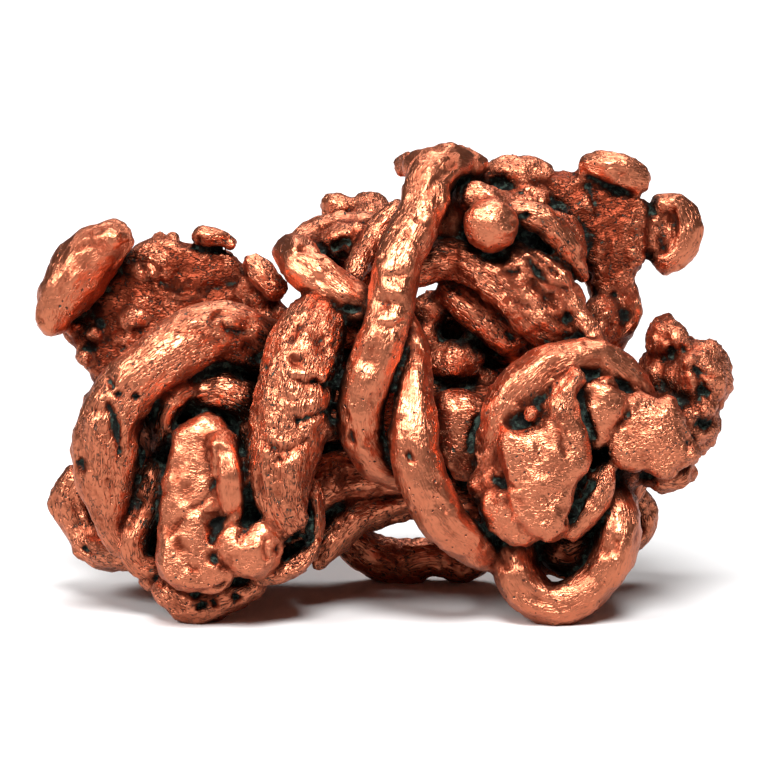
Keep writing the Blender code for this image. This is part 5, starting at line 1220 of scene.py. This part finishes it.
def copper_material(finish):
    """Worn copper and a painted highlight on the swellings, tarnish and painted shade in the lows, dark green
    crust in the creases.
    """
    material = bpy.data.materials.new("native copper")
    material.use_nodes = True
    tree = material.node_tree
    tree.nodes.clear()
    place = vector_math(tree, "SCALE", add_node(tree, "ShaderNodeTexCoord").outputs["Object"], 1 / MM)
    grain = attribute(tree, "grain", "Vector")
    crevice, proud, pit, groove, crumple = (
        attribute(tree, name) for name in ("crevice", "proud", "pit", "groove", "crumple"))
    of, swing = numbers_in(tree)

    def total(*values):
        result = values[0]
        for value in values[1:]:
            result = of("ADD", result, value)
        return result

    def weighed(*pairs):
        """The sum of values, each times its weight."""
        return total(*(of("MULTIPLY", value, weight) for value, weight in pairs))

    patches = noise_of(tree, place, PATCH_SCALE, detail=3.0, roughness=0.6)
    speckle = noise_of(tree, place, SPECKLE_SCALE, roughness=0.6)
    bent = shaken(tree, place, BEND_SCALE, BEND_REACH)

    # Small crumpled facets, wrinkles along the grain, creases and cracks on some wrinkles, and pricks. Smooth
    # forms have few creases and cracks.
    facets = cells_of(tree, bent, FACET_SCALE, "MANHATTAN").outputs["Distance"]
    folds = noise_of(tree, grain, FOLD_SCALE, roughness=0.6)
    wrinkles = of("ABSOLUTE", swing(folds, 2.0))
    dots = cells_of(tree, bent, DOT_SCALE)
    chosen = add_node(tree, "ShaderNodeSeparateColor", {0: dots.outputs["Color"]}).outputs
    lined = ramp(tree, crumple, 0.5, 1.1, 0.25, 1.0)
    cracks = of("MULTIPLY", ramp(tree, wrinkles, 0.01, 0.05, 1.0, 0.0), ramp(tree, facets, 0.8, 0.95))
    cracks = of("MULTIPLY", cracks, lined)
    # The creases are painted shade as well as relief: they darken the colour below.
    creases = of("MULTIPLY", ramp(tree, wrinkles, 0.03, 0.16, 1.0, 0.0),
                 ramp(tree, total(facets, swing(speckle, 0.6), swing(patches, 1.5)), 0.42, 0.66))
    creases = of("MULTIPLY", creases, lined)
    crowd = of("MULTIPLY", ramp(tree, patches, 0.38, 0.54), ramp(tree, chosen[0], 0.5, 0.55))
    pricks = of("MULTIPLY", ramp(tree, dots.outputs["Distance"], 0.12, 0.25, 1.0, 0.0), crowd)

    # The finest relief, in millimetres. It is fainter on smooth forms.
    rough = of("ADD", of("MULTIPLY", crumple, 0.4), swing(patches, 1.5, 0.35))
    height = weighed((facets, 0.09), (wrinkles, 0.13), (speckle, 0.05))
    height = of("MULTIPLY", height, of("MAXIMUM", rough, 0.35))
    height = of("ADD", height, weighed((cracks, -0.1), (pricks, -0.15), (creases, -0.05)))
    bump = add_node(tree, "ShaderNodeBump", {"Height": height, "Strength": 1.0, "Distance": MM})

    # Copper is lighter where it stands proud, partly wear and partly a painted highlight, and browner where
    # it is closed in, as painted shade. It stays brown on the most crumpled forms.
    most_crumpled = of("MAXIMUM", of("SUBTRACT", crumple, 1.5), 0.0)
    worn = total(weighed((proud, 1.6), (crevice, -0.7), (most_crumpled, -2.0)), swing(patches, 3.2),
                 swing(speckle, 0.7), swing(facets, 0.35, 0.7), swing(wrinkles, 0.4, 0.2))
    worn = ramp(tree, worn, -0.75, 0.45)
    colour = blended(tree, worn, tuple(finish.brown), tuple(finish.bright), "RGBA")
    # Painted shade: the colour darkens in crevices, on the creases and in the lows, where little light falls.
    painted_shade = total(ramp(tree, crevice, 0.09, 0.5, 0.0, 0.95),
                 weighed((creases, 0.4), (ramp(tree, proud, -0.3, 0.0, 1.0, 0.0), 0.25)))
    colour = blended(tree, painted_shade, colour, PAINTED_SHADE_COLOUR, "RGBA")
    roughness = blended(tree, worn, finish.tarnish_roughness, finish.gloss_roughness)

    # The crust fills what is closed in, grooves and pits.
    crust = total(crevice, swing(patches, 0.3), swing(speckle, 0.5),
                  weighed((proud, -0.6), (of("MAXIMUM", groove, 0.0), 0.3), (pit, 0.4)))
    crust = ramp(tree, crust, 0.48, 0.76)
    crust = of("MAXIMUM", crust, of("MULTIPLY", of("MAXIMUM", cracks, pricks), 0.95))
    flecks = ramp(tree, of("ADD", speckle, swing(chosen[1], 0.3)), 0.5, 0.62)
    crust_colour = blended(tree, flecks, tuple(finish.patina), tuple(finish.verdigris), "RGBA")

    copper = add_node(tree, "ShaderNodeBsdfPrincipled", {
        "Base Color": colour, "Metallic": 1.0, "Roughness": roughness, "Normal": bump.outputs["Normal"]})
    dull = add_node(tree, "ShaderNodeBsdfPrincipled", {
        "Base Color": crust_colour, "Roughness": CRUST_ROUGHNESS, "Specular IOR Level": CRUST_SPECULAR,
        "Normal": bump.outputs["Normal"]})
    shaders = {0: crust, 1: copper.outputs["BSDF"], 2: dull.outputs["BSDF"]}
    mixed = add_node(tree, "ShaderNodeMixShader", shaders)
    add_node(tree, "ShaderNodeOutputMaterial", {"Surface": mixed.outputs["Shader"]})
    return material


def face_on_to_world(shape, u, v, d):
    """Where a face-on point in millimetres lies once the nugget stands."""
    return upright(shape) @ (Vector((u, v, d)) * MM - Vector(shape.stands_at))


def grow_nugget(scene):
    """Makes the nugget from its forms and puts it in the place of the CAD solid."""
    shape, skin, finish = scene.nugget_shape, scene.nugget_skin, scene.nugget_finish
    forms = new_object("forms", forms_mesh())
    nugget = new_object("nugget", forms.data.copy())
    fuse(nugget, shape)
    deepen(nugget.data, shape)
    hammer(nugget.data, skin.facet / MM, skin.facet_force, FACET_SEED)
    carve(nugget.data)
    hammer(nugget.data, skin.chip / MM, skin.chip_force, CHIP_SEED)
    soften(nugget, BEATEN_ROUNDING)
    material = copper_material(finish)
    give_relief(nugget, forms, material, skin)
    thin_out(nugget, shape)
    stand(nugget.data, shape)
    keep_inside(nugget.data, *CAD_BOX)
    keep_shade(nugget.data)
    nugget.data.materials.clear()
    nugget.data.materials.append(material)
    nugget.data.polygons.foreach_set("use_smooth", [True] * len(nugget.data.polygons))
    bpy.data.objects.remove(forms)
    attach(nugget, "root")
    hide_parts(NODE)


def lay_floor(colour, bounce, radius=6.0):
    """A wide round floor under the nugget, paler to the camera than in what it throws back."""
    bm = bmesh.new()
    bmesh.ops.create_circle(bm, cap_ends=True, segments=96, radius=radius)
    mesh = bpy.data.meshes.new("floor")
    bm.to_mesh(mesh)
    bm.free()
    pale = bpy.data.materials.new("pale floor")
    pale.use_nodes = True
    tree = pale.node_tree
    seen = add_node(tree, "ShaderNodeLightPath").outputs["Is Camera Ray"]
    thrown = tuple(part * bounce for part in colour)
    shader = tree.nodes["Principled BSDF"].inputs
    link(tree, blended(tree, seen, thrown, colour, "RGBA"), shader["Base Color"])
    link(tree, FLOOR_ROUGHNESS, shader["Roughness"])
    mesh.materials.append(pale)
    new_object("floor", mesh)


def light_surround(strength):
    """An even pale surround: white to the camera, softer as a light."""
    world = bpy.data.worlds.new("surround")
    world.use_nodes = True
    tree = world.node_tree
    tree.nodes.clear()
    seen = add_node(tree, "ShaderNodeLightPath").outputs["Is Camera Ray"]
    strength = blended(tree, seen, strength, 1.0)
    light = add_node(tree, "ShaderNodeBackground", {"Color": (1, 1, 1, 1), "Strength": strength})
    add_node(tree, "ShaderNodeOutputWorld", {"Surface": light.outputs["Background"]})
    bpy.context.scene.world = world


def hang_light(name, strength, side, height, softness):
    """A soft light from far off. Its side, height and softness are angles; its side is 0 at the front."""
    light = bpy.data.lights.new(name, "SUN")
    light.angle = math.radians(softness)
    light.energy = strength
    lamp = new_object(name, light)
    side, height = math.radians(side), math.radians(height)
    level = math.cos(height)
    way = Vector((math.sin(side) * level, -math.cos(side) * level, math.sin(height)))
    lamp.location = way
    lamp.rotation_euler = (-way).to_track_quat("-Z", "Y").to_euler()


def place_camera(shape, studio):
    """The camera that sees the nugget face on, from a little above."""
    camera = bpy.data.cameras.new("camera")
    camera.sensor_width = SENSOR_WIDTH
    camera.lens = SENSOR_WIDTH * studio.view_distance / studio.view_width
    camera.clip_start, camera.clip_end = CLIP_NEAR, CLIP_FAR
    seen_from = new_object("camera", camera)
    target = face_on_to_world(shape, *LOOKS_AT)
    back = Vector((0, -math.cos(shape.lean), math.sin(shape.lean)))
    seen_from.location = target + back * studio.view_distance
    seen_from.rotation_euler = (-back).to_track_quat("-Z", "Y").to_euler()
    bpy.context.scene.camera = seen_from


def lay_stage(scene):
    """The floor, the lights and the camera."""
    studio = scene.nugget_studio
    lay_floor(tuple(studio.floor_colour), studio.floor_bounce)
    light_surround(studio.surround)
    hang_light("key light", studio.key_strength, side=4, height=56, softness=26)
    hang_light("second light", studio.second_strength, side=-52, height=38, softness=22)
    hang_light("back light", studio.back_strength, side=172, height=58, softness=34)
    place_camera(scene.nugget_shape, studio)
    scene.view_settings.view_transform = "Standard"


class COPPER_OT_grow_nugget(bpy.types.Operator):
    """Grow the copper nugget from its strands, plates and lumps"""

    bl_idname = "copper.grow_nugget"
    bl_label = "Grow Nugget"

    def execute(self, context):
        grow_nugget(context.scene)
        return {"FINISHED"}


class COPPER_OT_lay_stage(bpy.types.Operator):
    """Lay the floor, hang the lights and place the camera"""

    bl_idname = "copper.lay_stage"
    bl_label = "Lay Stage"

    def execute(self, context):
        lay_stage(context.scene)
        return {"FINISHED"}


class VIEW3D_PT_copper(bpy.types.Panel):
    """The nugget's settings and the buttons that make it"""

    bl_label = "Native Copper Nugget"
    bl_space_type = "VIEW_3D"
    bl_region_type = "UI"
    bl_category = "Copper"

    def draw(self, context):
        scene = context.scene
        for settings in (scene.nugget_shape, scene.nugget_skin, scene.nugget_finish):
            box = self.layout.box()
            for name in settings.__annotations__:
                box.prop(settings, name)
        self.layout.operator(COPPER_OT_grow_nugget.bl_idname)
        box = self.layout.box()
        for name in scene.nugget_studio.__annotations__:
            box.prop(scene.nugget_studio, name)
        self.layout.operator(COPPER_OT_lay_stage.bl_idname)


CLASSES = (NuggetShape, NuggetSkin, NuggetFinish, NuggetStudio,
           COPPER_OT_grow_nugget, COPPER_OT_lay_stage, VIEW3D_PT_copper)


def register():
    for cls in CLASSES:
        bpy.utils.register_class(cls)
    bpy.types.Scene.nugget_shape = PointerProperty(type=NuggetShape)
    bpy.types.Scene.nugget_skin = PointerProperty(type=NuggetSkin)
    bpy.types.Scene.nugget_finish = PointerProperty(type=NuggetFinish)
    bpy.types.Scene.nugget_studio = PointerProperty(type=NuggetStudio)


def unregister():
    for name in ("nugget_shape", "nugget_skin", "nugget_finish", "nugget_studio"):
        delattr(bpy.types.Scene, name)
    for cls in reversed(CLASSES):
        bpy.utils.unregister_class(cls)


def main():
    register()
    bpy.ops.copper.grow_nugget()
    bpy.ops.copper.lay_stage()


if __name__ == "__main__":
    main()
